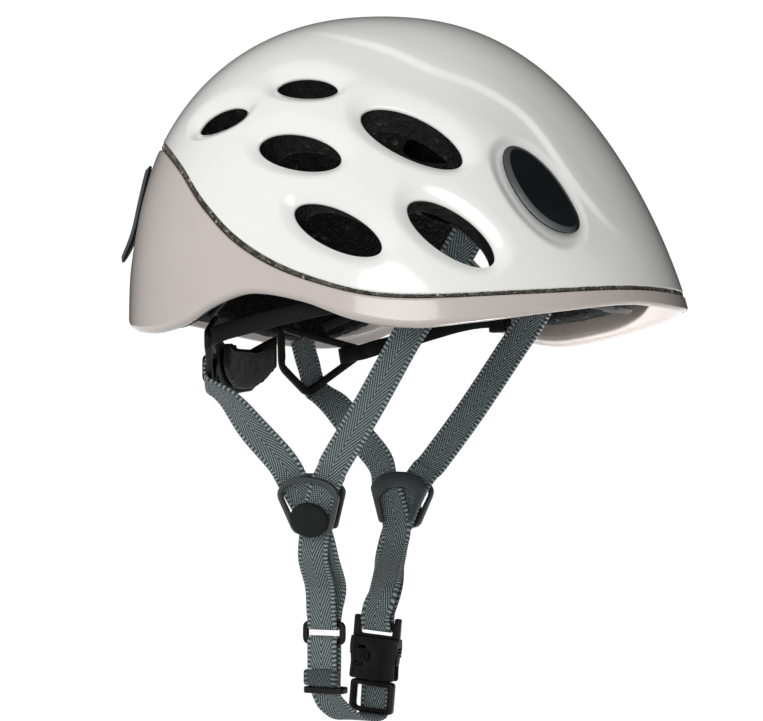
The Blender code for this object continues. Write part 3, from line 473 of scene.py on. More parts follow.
def match(outer, inner):
    """Start the inner outline next to the outer one's first point."""
    i = int(np.argmin(np.linalg.norm(inner - outer[0], axis=1)))
    inner = np.roll(inner, -i, axis=0)
    if np.linalg.norm(inner[len(inner) // 4] - outer[len(outer) // 4]) > np.linalg.norm(inner[-len(inner) // 4] - outer[len(outer) // 4]):
        inner = np.roll(inner[::-1], 1, axis=0)
    return inner


def loop_inset(o, d):
    """Offset an even outline inwards by d."""
    t = np.roll(o, -1, axis=0) - np.roll(o, 1, axis=0)
    t = t / np.linalg.norm(t, axis=1, keepdims=True)
    n = np.stack([-t[:, 1], t[:, 0]], -1)
    area = 0.5 * np.sum(o[:, 0] * np.roll(o[:, 1], -1) - np.roll(o[:, 0], -1) * o[:, 1])
    return o + (n if area > 0 else -n) * d


def ring_plate(outer, inner, lo, hi, bevel, crown=0.0, steps=3):
    """Flat ring between two outlines, with rounded edges and a slightly crowned top."""
    M = Mesh()
    inner = match(outer, resample(inner, len(outer)))
    prof = []
    for k in range(steps + 1):
        a = math.pi / 2 * k / steps
        prof.append(("o", bevel * (1 - math.sin(a)), lo + bevel * (1 - math.cos(a))))
    for k in range(steps + 1):
        a = math.pi / 2 * k / steps
        prof.append(("o", bevel * (1 - math.cos(a)), hi - bevel * (1 - math.sin(a))))
    rows = [M.ring([(p[0], p[1], z) for p in loop_inset(outer, d)]) for _, d, z in prof]
    mid = []
    oi, ii = loop_inset(outer, bevel), loop_inset(inner, -bevel)
    for t in (0.3, 0.5, 0.7):
        mid.append(M.ring([(p[0], p[1], hi + crown * (1 - (2 * t - 1) ** 2)) for p in oi * (1 - t) + ii * t]))
    rows += mid
    for k in range(steps + 1):
        a = math.pi / 2 * k / steps
        rows.append(M.ring([(p[0], p[1], hi - bevel * (1 - math.cos(a))) for p in loop_inset(inner, -bevel * (1 - math.sin(a)))]))
    for k in range(steps + 1):
        a = math.pi / 2 * k / steps
        rows.append(M.ring([(p[0], p[1], lo + bevel * (1 - math.sin(a))) for p in loop_inset(inner, -bevel * (1 - math.cos(a)))]))
    for a, b in zip(rows[:-1], rows[1:]):
        M.join(a, b)
    M.join(rows[-1], rows[0])
    return M


def disc_plate(outer, lo, hi, bevel, crown=0.0, steps=3, rows_in=5):
    """Solid plate with rounded edges and a crowned top."""
    M = Mesh()
    rows = [M.ring([(p[0], p[1], lo) for p in loop_inset(outer, bevel + 0.01)])]
    M.cap(rows[0], None)
    for k in range(1, steps + 1):
        a = math.pi / 2 * k / steps
        rows.append(M.ring([(p[0], p[1], lo + bevel * (1 - math.cos(a))) for p in loop_inset(outer, bevel * (1 - math.sin(a)))]))
    for k in range(steps + 1):
        a = math.pi / 2 * k / steps
        rows.append(M.ring([(p[0], p[1], hi - bevel * (1 - math.sin(a))) for p in loop_inset(outer, bevel * (1 - math.cos(a)))]))
    base = loop_inset(outer, bevel)
    c = base.mean(axis=0)
    for k in range(1, rows_in):
        t = k / rows_in
        rows.append(M.ring([(p[0], p[1], hi + crown * (1 - (1 - t) ** 2)) for p in base * (1 - t) + c * t]))
    for a, b in zip(rows[:-1], rows[1:]):
        M.join(a, b)
    M.cap(rows[-1], (c[0], c[1], hi + crown))
    return M


def sweep(stations, section, step=1.2, per=14):
    """Sweep a closed section (across, through) along stations of six numbers."""
    S = smooth_path(stations, per)
    d = np.concatenate([[0], np.cumsum(np.linalg.norm(np.diff(S[:, :3], axis=0), axis=1))])
    n = max(3, int(round(d[-1] / step)) + 1)
    s = np.linspace(0, d[-1], n)
    S = np.stack([np.interp(s, d, S[:, c]) for c in range(6)], -1)
    P = S[:, :3]
    T = unit(np.gradient(P, axis=0))
    W = S[:, 3:6]
    W = unit(W - T * (W * T).sum(-1, keepdims=True))
    Nn = unit(np.cross(T, W))
    sec = np.array(section, float)
    V = P[:, None, :] + W[:, None, :] * sec[None, :, 0:1] + Nn[:, None, :] * sec[None, :, 1:2]
    k = len(sec)
    M = Mesh()
    rings = [M.ring(V[i]) for i in range(n)]
    for a, b in zip(rings[:-1], rings[1:]):
        M.join(a, b)
    M.cap(rings[0][::-1])
    M.cap(rings[-1])
    return M, s, P, W, Nn


def rounded_section(w, t, r, k=3):
    out = []
    r = min(r, t / 2 - 1e-3)
    for sx, sy, a0 in ((1, -1, -90), (1, 1, 0), (-1, 1, 90), (-1, -1, 180)):
        for j in range(k + 1):
            a = math.radians(a0 + 90 * j / k)
            out.append((sx * (w / 2 - r) + r * math.cos(a), sy * (t / 2 - r) + r * math.sin(a)))
    return out


# ------------------------------------------------------------------ materials
class Nodes:
    """Small helper for building a shader."""

    def __init__(self, name, rgb, rough, metal=0.0, coat=0.0, coat_rough=0.05, sheen=0.0, spec=0.5):
        self.mat = bpy.data.materials.new(name)
        self.mat.use_nodes = True
        self.nt = self.mat.node_tree
        self.b = self.nt.nodes["Principled BSDF"]
        self.b.inputs["Base Color"].default_value = (rgb[0], rgb[1], rgb[2], 1)
        self.b.inputs["Roughness"].default_value = rough
        self.b.inputs["Metallic"].default_value = metal
        self.b.inputs["Coat Weight"].default_value = coat
        self.b.inputs["Coat Roughness"].default_value = coat_rough
        self.b.inputs["Sheen Weight"].default_value = sheen
        self.b.inputs["Specular IOR Level"].default_value = spec
        self.mat.diffuse_color = (rgb[0], rgb[1], rgb[2], 1)
        self.where = self.nt.nodes.new("ShaderNodeTexCoord").outputs["Object"]

    def add(self, kind, ins=(), **props):
        n = self.nt.nodes.new(kind)
        for k, v in props.items():
            setattr(n, k, v)
        for key, v in (ins.items() if isinstance(ins, dict) else enumerate(ins)):
            if v is None:
                continue
            if isinstance(v, bpy.types.NodeSocket):
                self.nt.links.new(v, n.inputs[key])
            else:
                n.inputs[key].default_value = v
        return n

    def m(self, op, a, b=None, c=None, clamp=False):
        return self.add("ShaderNodeMath", (a, b, c), operation=op, use_clamp=clamp).outputs[0]

    def noise(self, scale, detail=2.0, rough=0.5, vec=None, out="Fac"):
        n = self.add("ShaderNodeTexNoise", {"Vector": vec or self.where, "Scale": scale, "Detail": detail, "Roughness": rough})
        return n.outputs[out]

    def voronoi(self, scale, feature="F1", out="Distance", vec=None, rnd=1.0):
        n = self.add("ShaderNodeTexVoronoi", {"Vector": vec or self.where, "Scale": scale, "Randomness": rnd}, feature=feature)
        return n.outputs[out]

    def span(self, fac, a, b, c=0.0, d=1.0):
        return self.add("ShaderNodeMapRange", (fac, a, b, c, d)).outputs[0]

    def ramp(self, fac, stops):
        n = self.add("ShaderNodeValToRGB", (fac,))
        e = n.color_ramp.elements
        while len(e) < len(stops):
            e.new(0.5)
        for k, (p, c) in enumerate(stops):
            e[k].position = p
            e[k].color = (c[0], c[1], c[2], 1)
        return n.outputs[0]

    def mix(self, fac, a, b):
        n = self.add("ShaderNodeMix", (), data_type="RGBA")
        for s, v in ((n.inputs[0], fac), (n.inputs[6], a), (n.inputs[7], b)):
            if isinstance(v, bpy.types.NodeSocket):
                self.nt.links.new(v, s)
            elif s is n.inputs[0]:
                s.default_value = v
            else:
                s.default_value = (v[0], v[1], v[2], 1)
        return n.outputs[2]

    def to(self, **kw):
        for k, v in kw.items():
            self.nt.links.new(v, self.b.inputs[k.replace("_", " ")])
        return self

    def bump(self, height, strength, distance, under=None):
        n = self.add("ShaderNodeBump", {"Height": height, "Strength": strength, "Distance": distance})
        if under is not None:
            self.nt.links.new(under, n.inputs["Normal"])
        self.nt.links.new(n.outputs[0], self.b.inputs["Normal"])
        return n.outputs[0]


def gloss_shell(name, rgb, dark, rough):
    g = Nodes(name, rgb, rough, coat=0.55, coat_rough=0.05)
    tone = g.noise(22.0, 3.0, 0.55)
    g.to(Base_Color=g.mix(g.span(tone, 0.3, 0.7, 0.0, 1.0), rgb, dark))
    g.to(Roughness=g.span(g.noise(300.0, 3.0, 0.6), 0.3, 0.7, rough * 0.85, rough * 1.2))
    peel = g.bump(g.noise(210.0, 1.0, 0.4), 0.045, 0.0006)
    g.bump(g.noise(1900.0, 2.0, 0.5), 0.02, 0.0001, peel)
    return g.mat


def bead_foam(name, dark, light, specks, cell=370.0):
    g = Nodes(name, dark, 0.8, spec=0.12)
    colour = g.voronoi(cell, out="Color")
    pick = g.add("ShaderNodeSeparateColor", (colour,)).outputs[0]
    tone = g.mix(g.span(pick, 0.0, 1.0), dark, light)
    tone = g.mix(g.m("GREATER_THAN", pick, 1.0 - specks), tone, [c * 3.2 for c in light])
    edge = g.voronoi(cell, feature="DISTANCE_TO_EDGE")
    # painted shade: the crevices between beads are darkened to 0.3 of the dark tone, where the bump sinks
    tone = g.mix(g.span(edge, 0.0, 0.09, 0.75, 0.0), tone, [c * 0.3 for c in dark])
    g.to(Base_Color=tone)
    g.to(Roughness=g.span(g.noise(1500.0), 0.3, 0.7, 0.62, 0.92))
    b = g.bump(g.m("POWER", g.m("MULTIPLY", edge, 2.4, clamp=True), 0.5), 0.75, 0.0009)
    g.bump(g.noise(2600.0, 2.0, 0.6), 0.25, 0.0002, b)
    return g.mat


def plastic(name, rgb, rough, grain=2400.0, amount=0.22, coat=0.0, spec=0.12):
    g = Nodes(name, rgb, rough, coat=coat, coat_rough=0.25, spec=spec)
    tone = g.noise(90.0, 4.0, 0.6)
    g.to(Base_Color=g.mix(g.span(tone, 0.3, 0.72), rgb, [c * 1.35 + 0.002 for c in rgb]))
    g.to(Roughness=g.span(g.noise(650.0, 4.0, 0.65), 0.3, 0.7, rough * 0.86, min(1.0, rough * 1.2)))
    fine = g.bump(g.noise(grain, 3.0, 0.6), amount, 0.00012)
    g.bump(g.noise(240.0, 2.0, 0.5), 0.05, 0.0004, fine)
    return g.mat


def cloth_pad(name, rgb):
    g = Nodes(name, rgb, 0.92, sheen=0.35, spec=0.25)
    cell = g.voronoi(620.0, rnd=0.35)
    # painted shade: the knit runs from 1.9 times the colour on the raised cell centres to 0.55 times in the sunk gaps
    # between cells
    tone = g.mix(g.span(cell, 0.0, 0.75), [c * 1.9 for c in rgb], [c * 0.55 for c in rgb])
    g.to(Base_Color=g.mix(g.span(g.noise(55.0, 3.0), 0.35, 0.7, 0.0, 0.45), tone, [c * 1.5 for c in rgb]))
    b = g.bump(cell, 0.6, -0.0005)
    g.bump(g.noise(3000.0, 2.0), 0.3, 0.0002, b)
    return g.mat


def steel(name):
    g = Nodes(name, (0.55, 0.55, 0.54), 0.32, metal=1.0)
    v = g.add("ShaderNodeMapping", {"Vector": g.where, "Scale": (60, 2400, 60)}).outputs[0]
    lines = g.noise(1.0, 3.0, 0.6, vec=v)
    g.to(Roughness=g.span(lines, 0.3, 0.7, 0.24, 0.42))
    g.to(Base_Color=g.mix(g.noise(200.0, 3.0), (0.58, 0.58, 0.57), (0.46, 0.46, 0.45)))
    g.bump(lines, 0.08, 0.00008)
    return g.mat


def woven(name, dark, light, edge_dark, edge_light):
    """Narrow webbing: chevron ribs made of small dots, and a ladder of bars along both edges."""
    g = Nodes(name, dark, 0.68, sheen=0.15, spec=0.3)
    a = g.add("ShaderNodeAttribute", (), attribute_name="weave", attribute_type="GEOMETRY").outputs["Vector"]
    sep = g.add("ShaderNodeSeparateXYZ", (a,))
    s, v = sep.outputs[0], sep.outputs[1]
    av = g.m("ABSOLUTE", v)
    wob = g.m("MULTIPLY", g.m("SUBTRACT", g.noise(260.0, 2.0), 0.5), 0.22)
    # one chevron across the width: ribs lie 22 degrees off the strap's length
    rib = g.m("ADD", g.m("ADD", g.m("MULTIPLY", s, 0.375), g.m("MULTIPLY", av, 0.927)), wob)
    dot = g.m("SUBTRACT", g.m("MULTIPLY", s, 0.927), g.m("MULTIPLY", av, 0.375))
    k1 = 2 * math.pi / 1.12
    k2 = 2 * math.pi / 0.98
    w1 = g.m("MULTIPLY_ADD", g.m("SINE", g.m("MULTIPLY", rib, k1)), 0.5, 0.5)
    w2 = g.m("MULTIPLY_ADD", g.m("SINE", g.m("MULTIPLY", dot, k2)), 0.5, 0.5)
    centre = g.m("MULTIPLY", g.m("POWER", w1, 1.5), g.m("MULTIPLY_ADD", w2, 0.78, 0.22))
    slant = g.m("ADD", s, g.m("MULTIPLY", g.m("SUBTRACT", av, 6.4), 0.12))
    bars = g.m("MULTIPLY_ADD", g.m("SINE", g.m("MULTIPLY", g.m("ADD", slant, g.m("MULTIPLY", wob, 1.5)), 2 * math.pi / 2.1)), 0.5, 0.5)
    bars = g.m("POWER", bars, 1.7)
    at_edge = g.span(av, 5.15, 5.5)
    channel = g.m("MULTIPLY", g.span(av, 4.95, 5.25), g.span(av, 5.7, 5.4))
    h = g.m("ADD", g.m("MULTIPLY", centre, g.m("SUBTRACT", 1.0, at_edge)), g.m("MULTIPLY", bars, at_edge))
    h = g.m("MULTIPLY", h, g.m("SUBTRACT", 1.0, g.m("MULTIPLY", channel, 0.6)))
    fluff = g.span(g.noise(1800.0, 3.0, 0.7), 0.25, 0.75, 0.72, 1.25)
    c_mid = g.mix(g.m("MULTIPLY", centre, fluff, clamp=True), dark, light)
    c_edge = g.mix(g.m("MULTIPLY", bars, fluff, clamp=True), edge_dark, edge_light)
    col = g.mix(at_edge, c_mid, c_edge)
    col = g.mix(g.m("MULTIPLY", channel, 0.45), col, edge_dark)
    g.to(Base_Color=col)
    g.to(Roughness=g.span(h, 0.0, 1.0, 0.86, 0.55))
    g.bump(h, 0.9, 0.00035)
    return g.mat


WHITE = gloss_shell("upper_gloss_white", (0.86, 0.86, 0.835), (0.845, 0.845, 0.82), 0.17)
TAUPE = gloss_shell("lower_gloss_taupe", (0.545, 0.488, 0.458), (0.525, 0.468, 0.438), 0.2)
# painted shade: a darker copy of the taupe for the lower shell's inner wall, standing in for the shade inside the brim
TAUPE_PAINTED_SHADE = gloss_shell("lower_inner_taupe_painted_shade", (0.50, 0.440, 0.405), (0.47, 0.413, 0.380), 0.3)
FOAM = bead_foam("foam_beads_black", (0.0045, 0.0050, 0.0048), (0.016, 0.017, 0.016), 0.03)
# painted light: a much lighter copy of the liner's bead foam, so the foam in the shaded seam groove reads as lit
SEAM_FOAM_PAINTED_LIGHT = bead_foam("foam_beads_seam_painted_light", (0.045, 0.043, 0.037), (0.20, 0.19, 0.165), 0.02, 620.0)
BLACK = plastic("satin_black", (0.0035, 0.0038, 0.0037), 0.36, spec=0.16)
CLIPB = plastic("clip_matte_black", (0.0030, 0.0038, 0.0042), 0.46, spec=0.09)
# partly painted highlight: the chamfer's base colour is about three times the clip's, on top of a glossier finish, so
# the edge reads bright
CLIP_EDGE_PAINTED_HIGHLIGHT = plastic("clip_black_gloss_edge_painted_highlight", (0.010, 0.012, 0.013), 0.30, spec=0.8)
CAPB = plastic("cap_matte_black", (0.0085, 0.0095, 0.0090), 0.6, grain=1500.0, amount=0.35, spec=0.1)
GREY = plastic("divider_satin_grey", (0.024, 0.030, 0.031), 0.33, spec=0.42)
# painted shade: base colour darker than the satin black, so the harness parts under the shell read as shaded
HARN_PAINTED_SHADE = plastic("harness_black_painted_shade", (0.0022, 0.0024, 0.0024), 0.46, spec=0.12)
WEB = woven("webbing_slate", (0.022, 0.030, 0.034), (0.46, 0.54, 0.565), (0.030, 0.040, 0.045), (0.34, 0.395, 0.41))
WEB_DARK = woven("webbing_slate_fold", (0.014, 0.020, 0.024), (0.17, 0.205, 0.225), (0.014, 0.020, 0.022), (0.19, 0.225, 0.24))
PAD = cloth_pad("pad_cloth_black", (0.020, 0.020, 0.021))
STEEL = steel("pin_steel")

# ------------------------------------------------------------------ light and floor
wd = bpy.data.worlds.new("studio")
SCN.world = wd
wd.use_nodes = True
wn = wd.node_tree
wn.nodes.clear()
_tc = wn.nodes.new("ShaderNodeTexCoord")
_dot = wn.nodes.new("ShaderNodeVectorMath")
_dot.operation = "DOT_PRODUCT"
_dot.inputs[1].default_value = (-0.72, 0.20, 0.20)
wn.links.new(_tc.outputs["Generated"], _dot.inputs[0])
_add = wn.nodes.new("ShaderNodeMath")
_add.inputs[1].default_value = 0.385
wn.links.new(_dot.outputs["Value"], _add.inputs[0])
_lo = wn.nodes.new("ShaderNodeMath")
_lo.operation = "MAXIMUM"
_lo.inputs[1].default_value = 0.015
wn.links.new(_add.outputs[0], _lo.inputs[0])
_bg = wn.nodes.new("ShaderNodeBackground")
_bg.inputs["Color"].default_value = (1.0, 1.0, 0.995, 1)
wn.links.new(_lo.outputs[0], _bg.inputs["Strength"])
_bw = wn.nodes.new("ShaderNodeBackground")
_bw.inputs["Color"].default_value = (1, 1, 1, 1)
_bw.inputs["Strength"].default_value = 1.05
_lp = wn.nodes.new("ShaderNodeLightPath")
_mx = wn.nodes.new("ShaderNodeMixShader")
wn.links.new(_lp.outputs["Is Camera Ray"], _mx.inputs[0])
wn.links.new(_bg.outputs[0], _mx.inputs[1])
wn.links.new(_bw.outputs[0], _mx.inputs[2])
_wo = wn.nodes.new("ShaderNodeOutputWorld")
wn.links.new(_mx.outputs[0], _wo.inputs[0])

floor_g = Nodes("floor_white", (0.9, 0.9, 0.9), 0.6)
floor_g.b.inputs["Emission Color"].default_value = (1, 1, 1, 1)
floor_g.b.inputs["Emission Strength"].default_value = 0.62
floor_g.to(Roughness=floor_g.span(floor_g.noise(20.0, 3.0), 0.3, 0.7, 0.55, 0.7))
_fm = bpy.data.meshes.new("floor")
_n = 96
_rad = (0.0, 0.8, 5.0, 40.0)
_fv = [(0, 0, -0.36)] + [(r * math.cos(2 * math.pi * k / _n), r * math.sin(2 * math.pi * k / _n), -0.36) for r in _rad[1:] for k in range(_n)]
_ff = [(0, 1 + k, 1 + (k + 1) % _n) for k in range(_n)]
for _j in range(2):
    _ff += [(1 + _j * _n + k, 1 + (_j + 1) * _n + k, 1 + (_j + 1) * _n + (k + 1) % _n, 1 + _j * _n + (k + 1) % _n) for k in range(_n)]
_fm.from_pydata(_fv, [], _ff)
_fm.materials.append(floor_g.mat)
floor = bpy.data.objects.new("floor", _fm)
SCN.collection.objects.link(floor)
floor.visible_diffuse = False


def area(name, place, aim, size, watts, colour=(1, 1, 1)):
    d = bpy.data.lights.new(name, "AREA")
    d.shape = "DISK"
    d.size = size
    d.energy = watts
    d.color = colour
    o = bpy.data.objects.new(name, d)
    SCN.collection.objects.link(o)
    o.location = place
    o.rotation_euler = (Vector(aim) - Vector(place)).to_track_quat("-Z", "Y").to_euler()
    return o


brim_light = area("brim_low_soft", (0.050, -0.085, -0.31), (0.050, -0.086, 0.0), 0.10, 0.16)
brim_light.visible_camera = False
brim_light.data.spread = math.radians(56)
area("key_soft", (-1.55, -0.30, 0.13), (0, 0, 0.02), 0.64, 4.6)


# ------------------------------------------------------------------ upper shell, foam and seam
def seam_gap(deg):
    deg = np.asarray(deg, float)
    sl = (table(SEAM, deg + 0.5) - table(SEAM, deg - 0.5)) / 2.2
    return (1.25 + 0.62 * soft((deg - 62) / 40)) * np.sqrt(1 + sl ** 2)


def on_shell(M, x, y):
    """Points of the plain form under local x, y of a seat frame, found along the frame's axis."""
    r = np.array(M.to_3x3())
    c = np.array(M.translation)
    lo, hi = np.full(x.shape, -26.0), np.full(x.shape, 9.0)
    base = c + x[..., None] * r[:, 0] + y[..., None] * r[:, 1]
    for _ in range(34):
        mid = (lo + hi) / 2
        inside = level(base + mid[..., None] * r[:, 2]) < 0
        lo, hi = np.where(inside, mid, lo), np.where(inside, hi, mid)
    return base + lo[..., None] * r[:, 2]


def crease_distance(q):
    best = np.full(q.shape[:-1], 1e9)
    for a, b in zip(CREASE_Q[:-1], CREASE_Q[1:]):
        ab = b - a
        t = np.clip(((q - a) @ ab) / (ab @ ab), 0, 1)
        d = q - (a + t[..., None] * ab)
        best = np.minimum(best, np.hypot(d[..., 0], d[..., 1]))
    return best


def hexes(step):
    ys = np.arange(-230, 232, step * 0.8660254)
    rows = [np.stack([-np.arange(step * (0.5 if j % 2 else 1.0), 230, step), np.full(len(np.arange(step * (0.5 if j % 2 else 1.0), 230, step)), y)], -1) for j, y in enumerate(ys)]
    return np.concatenate(rows)


def half_sheet(edge, grid, rings, grow=0.0, rim_step=1.4, mid_step=1.5, sides=80, fine=None):
    """Flat triangulation of the right half of the dome with its vent holes."""
    ph = np.linspace(0, np.pi, 2401)
    rp = surface(ph, edge(np.degrees(ph)))
    ln = np.hypot(*unroll(rp).T)
    d = np.concatenate([[0], np.cumsum(np.linalg.norm(np.diff(rp, axis=0), axis=1))])
    n = int(d[-1] / rim_step)
    pk = np.interp(np.linspace(0, d[-1], n + 1), d, ph)
    rq = unroll(surface(pk, edge(np.degrees(pk))))
    rq[0, 0] = rq[-1, 0] = 0.0
    y0, y1 = rq[0, 1], rq[-1, 1]
    my = np.linspace(y0, y1, int((y1 - y0) / mid_step) + 1)[1:-1]
    mq = np.stack([np.zeros(len(my)), my], -1)
    limit = lambda q: np.interp(np.arctan2(-q[:, 0], -q[:, 1]) % (2 * np.pi), ph, ln)
    pts, tag = [rq, mq], [np.full(len(rq), 1000), np.full(len(mq), 2000)]
    n_loop = []
    ang = np.linspace(0, 2 * np.pi, sides, endpoint=False)
    for vi, (M, a, b) in enumerate(VENT_M):
        for gi, g in enumerate([grow] + list(rings)):
            x, y = a * np.cos(ang), b * np.sin(ang)
            nn = unit(np.stack([x / a ** 2, y / b ** 2], -1))
            x, y = x + nn[:, 0] * g, y + nn[:, 1] * g
            p = on_shell(M, x, y)
            q = unroll(p)
            if gi:
                ok = (np.hypot(q[:, 0], q[:, 1]) < limit(q) - 1.0) & (q[:, 0] < -1.0)
                for vj, (M2, a2, b2) in enumerate(VENT_M):
                    if vj != vi:
                        l2 = local(p, M2)
                        g2 = ellipse_gap(l2[:, 0], l2[:, 1], a2, b2)
                        ok &= ~((g2 < g - 0.25) & (np.abs(l2[:, 2]) < 40))
                q = q[ok]
            pts.append(q)
            tag.append(np.full(len(q), vi if gi == 0 else 3000))
    back = [(hexes(grid), False)] + ([(hexes(fine), True)] if fine else [])
    for h, is_fine in back:
        h = h[(np.hypot(h[:, 0], h[:, 1]) < limit(h) - 0.62 * (fine if is_fine else grid)) & (h[:, 0] < -0.5 * grid)]
        p = roll(h)
        ok = np.ones(len(h), bool)
        for M, a, b in VENT_M:
            l = local(p, M)
            ok &= ~((ellipse_gap(l[:, 0], l[:, 1], a, b) < rings[-1] + 0.5 * grid) & (np.abs(l[:, 2]) < 40))
        if fine:
            near = crease_distance(h) < 6.5
            for M in CLIP_M:
                l = local(p, M)
                g = ellipse_gap(l[:, 0], l[:, 1], CLIP_HALF_LEN, CLIP_HALF_WID)
                near |= (g > -1.0) & (g < 8.0) & (np.abs(l[:, 2]) < 30)
            ok &= near if is_fine else ~near
        pts.append(h[ok])
        tag.append(np.full(int(ok.sum()), 3000))
    q, tag = np.concatenate(pts), np.concatenate(tag)
    segs = [(i, i + 1) for i in range(len(rq) - 1)]
    loops = []
    for vi in range(len(VENT_M)):
        ids = np.where(tag == vi)[0]
        loops.append(ids)
        segs += [(int(ids[i]), int(ids[(i + 1) % len(ids)])) for i in range(len(ids))]
    vo, eo, fo, ov, oe, of_ = delaunay_2d_cdt([Vector(p) for p in q], segs, [], 0, 1e-5, True)
    back_to = [o[0] if o else -1 for o in ov]
    keep = []
    for f in fo:
        f = [back_to[i] for i in f]
        if min(f) < 0:
            continue
        t = tag[f]
        if t[0] == t[1] == t[2] and t[0] < 100:
            continue
        if (t == 1000).all():
            c = q[f].mean(axis=0)[None]
            if np.hypot(c[0, 0], c[0, 1]) > limit(c)[0]:
                continue
        keep.append(f)
    F = np.array(keep)
    area2 = (q[F[:, 1], 0] - q[F[:, 0], 0]) * (q[F[:, 2], 1] - q[F[:, 0], 1]) - (q[F[:, 2], 0] - q[F[:, 0], 0]) * (q[F[:, 1], 1] - q[F[:, 0], 1])
    F = F[np.abs(area2) > 1e-7]
    area2 = area2[np.abs(area2) > 1e-7]
    F[area2 < 0] = F[area2 < 0][:, ::-1]
    used = np.unique(F)
    new = np.full(len(q), -1)
    new[used] = np.arange(len(used))
    rim = new[np.arange(len(rq))]
    loops = [new[l] for l in loops]
    return q[used], new[F], rim, loops, (tag[used] == 2000) | (np.abs(q[used, 0]) < 1e-9)


def full_dome(name, half, outer, inner, down, material, replaces, rows=3, bulge=0.5, wall_rows=3, normals=None, rough=None):
    """Closed dome from a half triangulation: outer and inner skins, rounded rim and hole edges, mirrored."""
    q, F, rim, loops, mid = half
    n = len(q)
    V, faces = [], []
    O, I = outer(q), inner(q)
    O[mid, 0] = 0.0
    I[mid, 0] = 0.0
    other = np.arange(n)
    cnt = 2 * n
    om = np.where(mid, np.arange(n), 0)
    free = np.where(~mid)[0]
    om[free] = cnt + np.arange(len(free))
    cnt += len(free)
    im = np.where(mid, np.arange(n) + n, 0)
    im[free] = cnt + np.arange(len(free))
    cnt += len(free)
    flip = np.array([-1.0, 1, 1])
    V = [O, I, O[free] * flip, I[free] * flip]
    for f in F:
        faces.append((f[0], f[1], f[2]))
        faces.append((om[f[2]], om[f[1]], om[f[0]]))
        faces.append((n + f[2], n + f[1], n + f[0]))
        faces.append((im[f[0]], im[f[1]], im[f[2]]))
    extra = []

    def stitch(oi, ii, oidx, iidx, dirs, steps, b):
        """Rows from the outer to the inner loop, bulging along dirs."""
        nonlocal cnt
        prev = list(oidx)
        half_t = np.linalg.norm(oi - ii, axis=1, keepdims=True) / 2
        for k in range(1, steps + 1):
            th = math.pi * k / (steps + 1)
            if b > 0:
                p = (oi + ii) / 2 + (oi - ii) / 2 * math.cos(th) + dirs * half_t * 2 * b * math.sin(th)
            else:
                p = oi + (ii - oi) * (k / (steps + 1))
            if rough is not None:
                p = p + dirs * rough(p)[:, None]
            ids = list(range(cnt, cnt + len(p)))
            cnt += len(p)
            extra.append(p)
            faces.extend(strip(prev, ids))
            prev = ids
        faces.extend(strip(prev, list(iidx)))

    for loop, (M, a, b) in zip(loops, VENT_M):
        l = local(O[loop], M)
        g = unit(np.stack([l[:, 0] / a ** 2, l[:, 1] / b ** 2, l[:, 0] * 0], -1))
        dirs = -(g @ np.array(M.to_3x3()).T)
        stitch(O[loop], I[loop], loop, loop + n, dirs, wall_rows, bulge if wall_rows <= 4 else 0.0)
        stitch(O[loop] * flip, I[loop] * flip, om[loop], im[loop], dirs * flip, wall_rows, bulge if wall_rows <= 4 else 0.0)
    ring_o = list(rim) + [om[i] for i in rim[1:-1][::-1]]
    ring_i = [i + n for i in rim] + [im[i] for i in rim[1:-1][::-1]]
    ro = np.concatenate([O[rim], O[rim[1:-1][::-1]] * flip])
    ri = np.concatenate([I[rim], I[rim[1:-1][::-1]] * flip])
    dd = down(q[rim])
    dd = np.concatenate([dd, dd[1:-1][::-1] * flip])
    stitch(ro, ri, ring_o, ring_i, dd, rows, bulge)
    allv = np.concatenate(V + extra)
    ob = make(name, allv, faces, material, replaces=replaces, smooth=True)
    if normals is not None:
        me = ob.data
        vn = np.zeros(len(me.vertices) * 3)
        me.vertices.foreach_get("normal", vn)
        vn = vn.reshape(-1, 3)
        on = normals(q)
        on[mid, 0] = 0
        on = unit(on)
        vn[:n] = on
        vn[2 * n:2 * n + len(free)] = on[free] * flip
        me.normals_split_custom_set_from_vertices([tuple(v) for v in vn])
    return ob


def down_dir(q):
    return unit(roll(q * 1.01) - roll(q * 0.995))


up_half = half_sheet(lambda d: table(SEAM, d) + seam_gap(d), 2.3, [0.8, 1.6, 2.5, 3.5, 4.6, 5.8, 7.2], fine=1.25)
upper = full_dome("shell_upper_skin", up_half, lambda q: moulded(q, 0.0), lambda q: moulded(q, SKIN), down_dir, WHITE,
                  ("upper_shell",), rows=4, bulge=0.5, wall_rows=4, normals=moulded_normal)


def foam_low(deg):
    deg = np.asarray(deg, float)
    return table(RIM, deg) + 14.0 - 9.0 * soft((deg - 105) / 30)


def bumps(p):
    return 0.35 * np.sin(2.3 * p[:, 0] + 1.3 * np.sin(1.7 * p[:, 1])) * np.sin(2.1 * p[:, 2] + 1.1 * np.sin(1.9 * p[:, 0])) + 0.2 * np.sin(3.9 * p[:, 1] + 2.0 * p[:, 2])


def foam_inner(q):
    p = roll(q)
    n = sheet_normal(q)
    x = np.abs(p[:, 0])
    chan = 3.5 * np.exp(-((x - 27.0) / 6.5) ** 4) * soft((p[:, 2] - 55.0) / 20.0)
    return p - n * (LINER_DEPTH - chan)[:, None]


foam_half = half_sheet(foam_low, 4.2, [3.0, 6.5], grow=0.9, rim_step=2.0, mid_step=3.0, sides=64)
full_dome("foam_body", foam_half, lambda q: moulded(q, 2.75), foam_inner, down_dir, FOAM, ("foam_liner",), rows=5, bulge=0.12,
          wall_rows=9, rough=bumps)

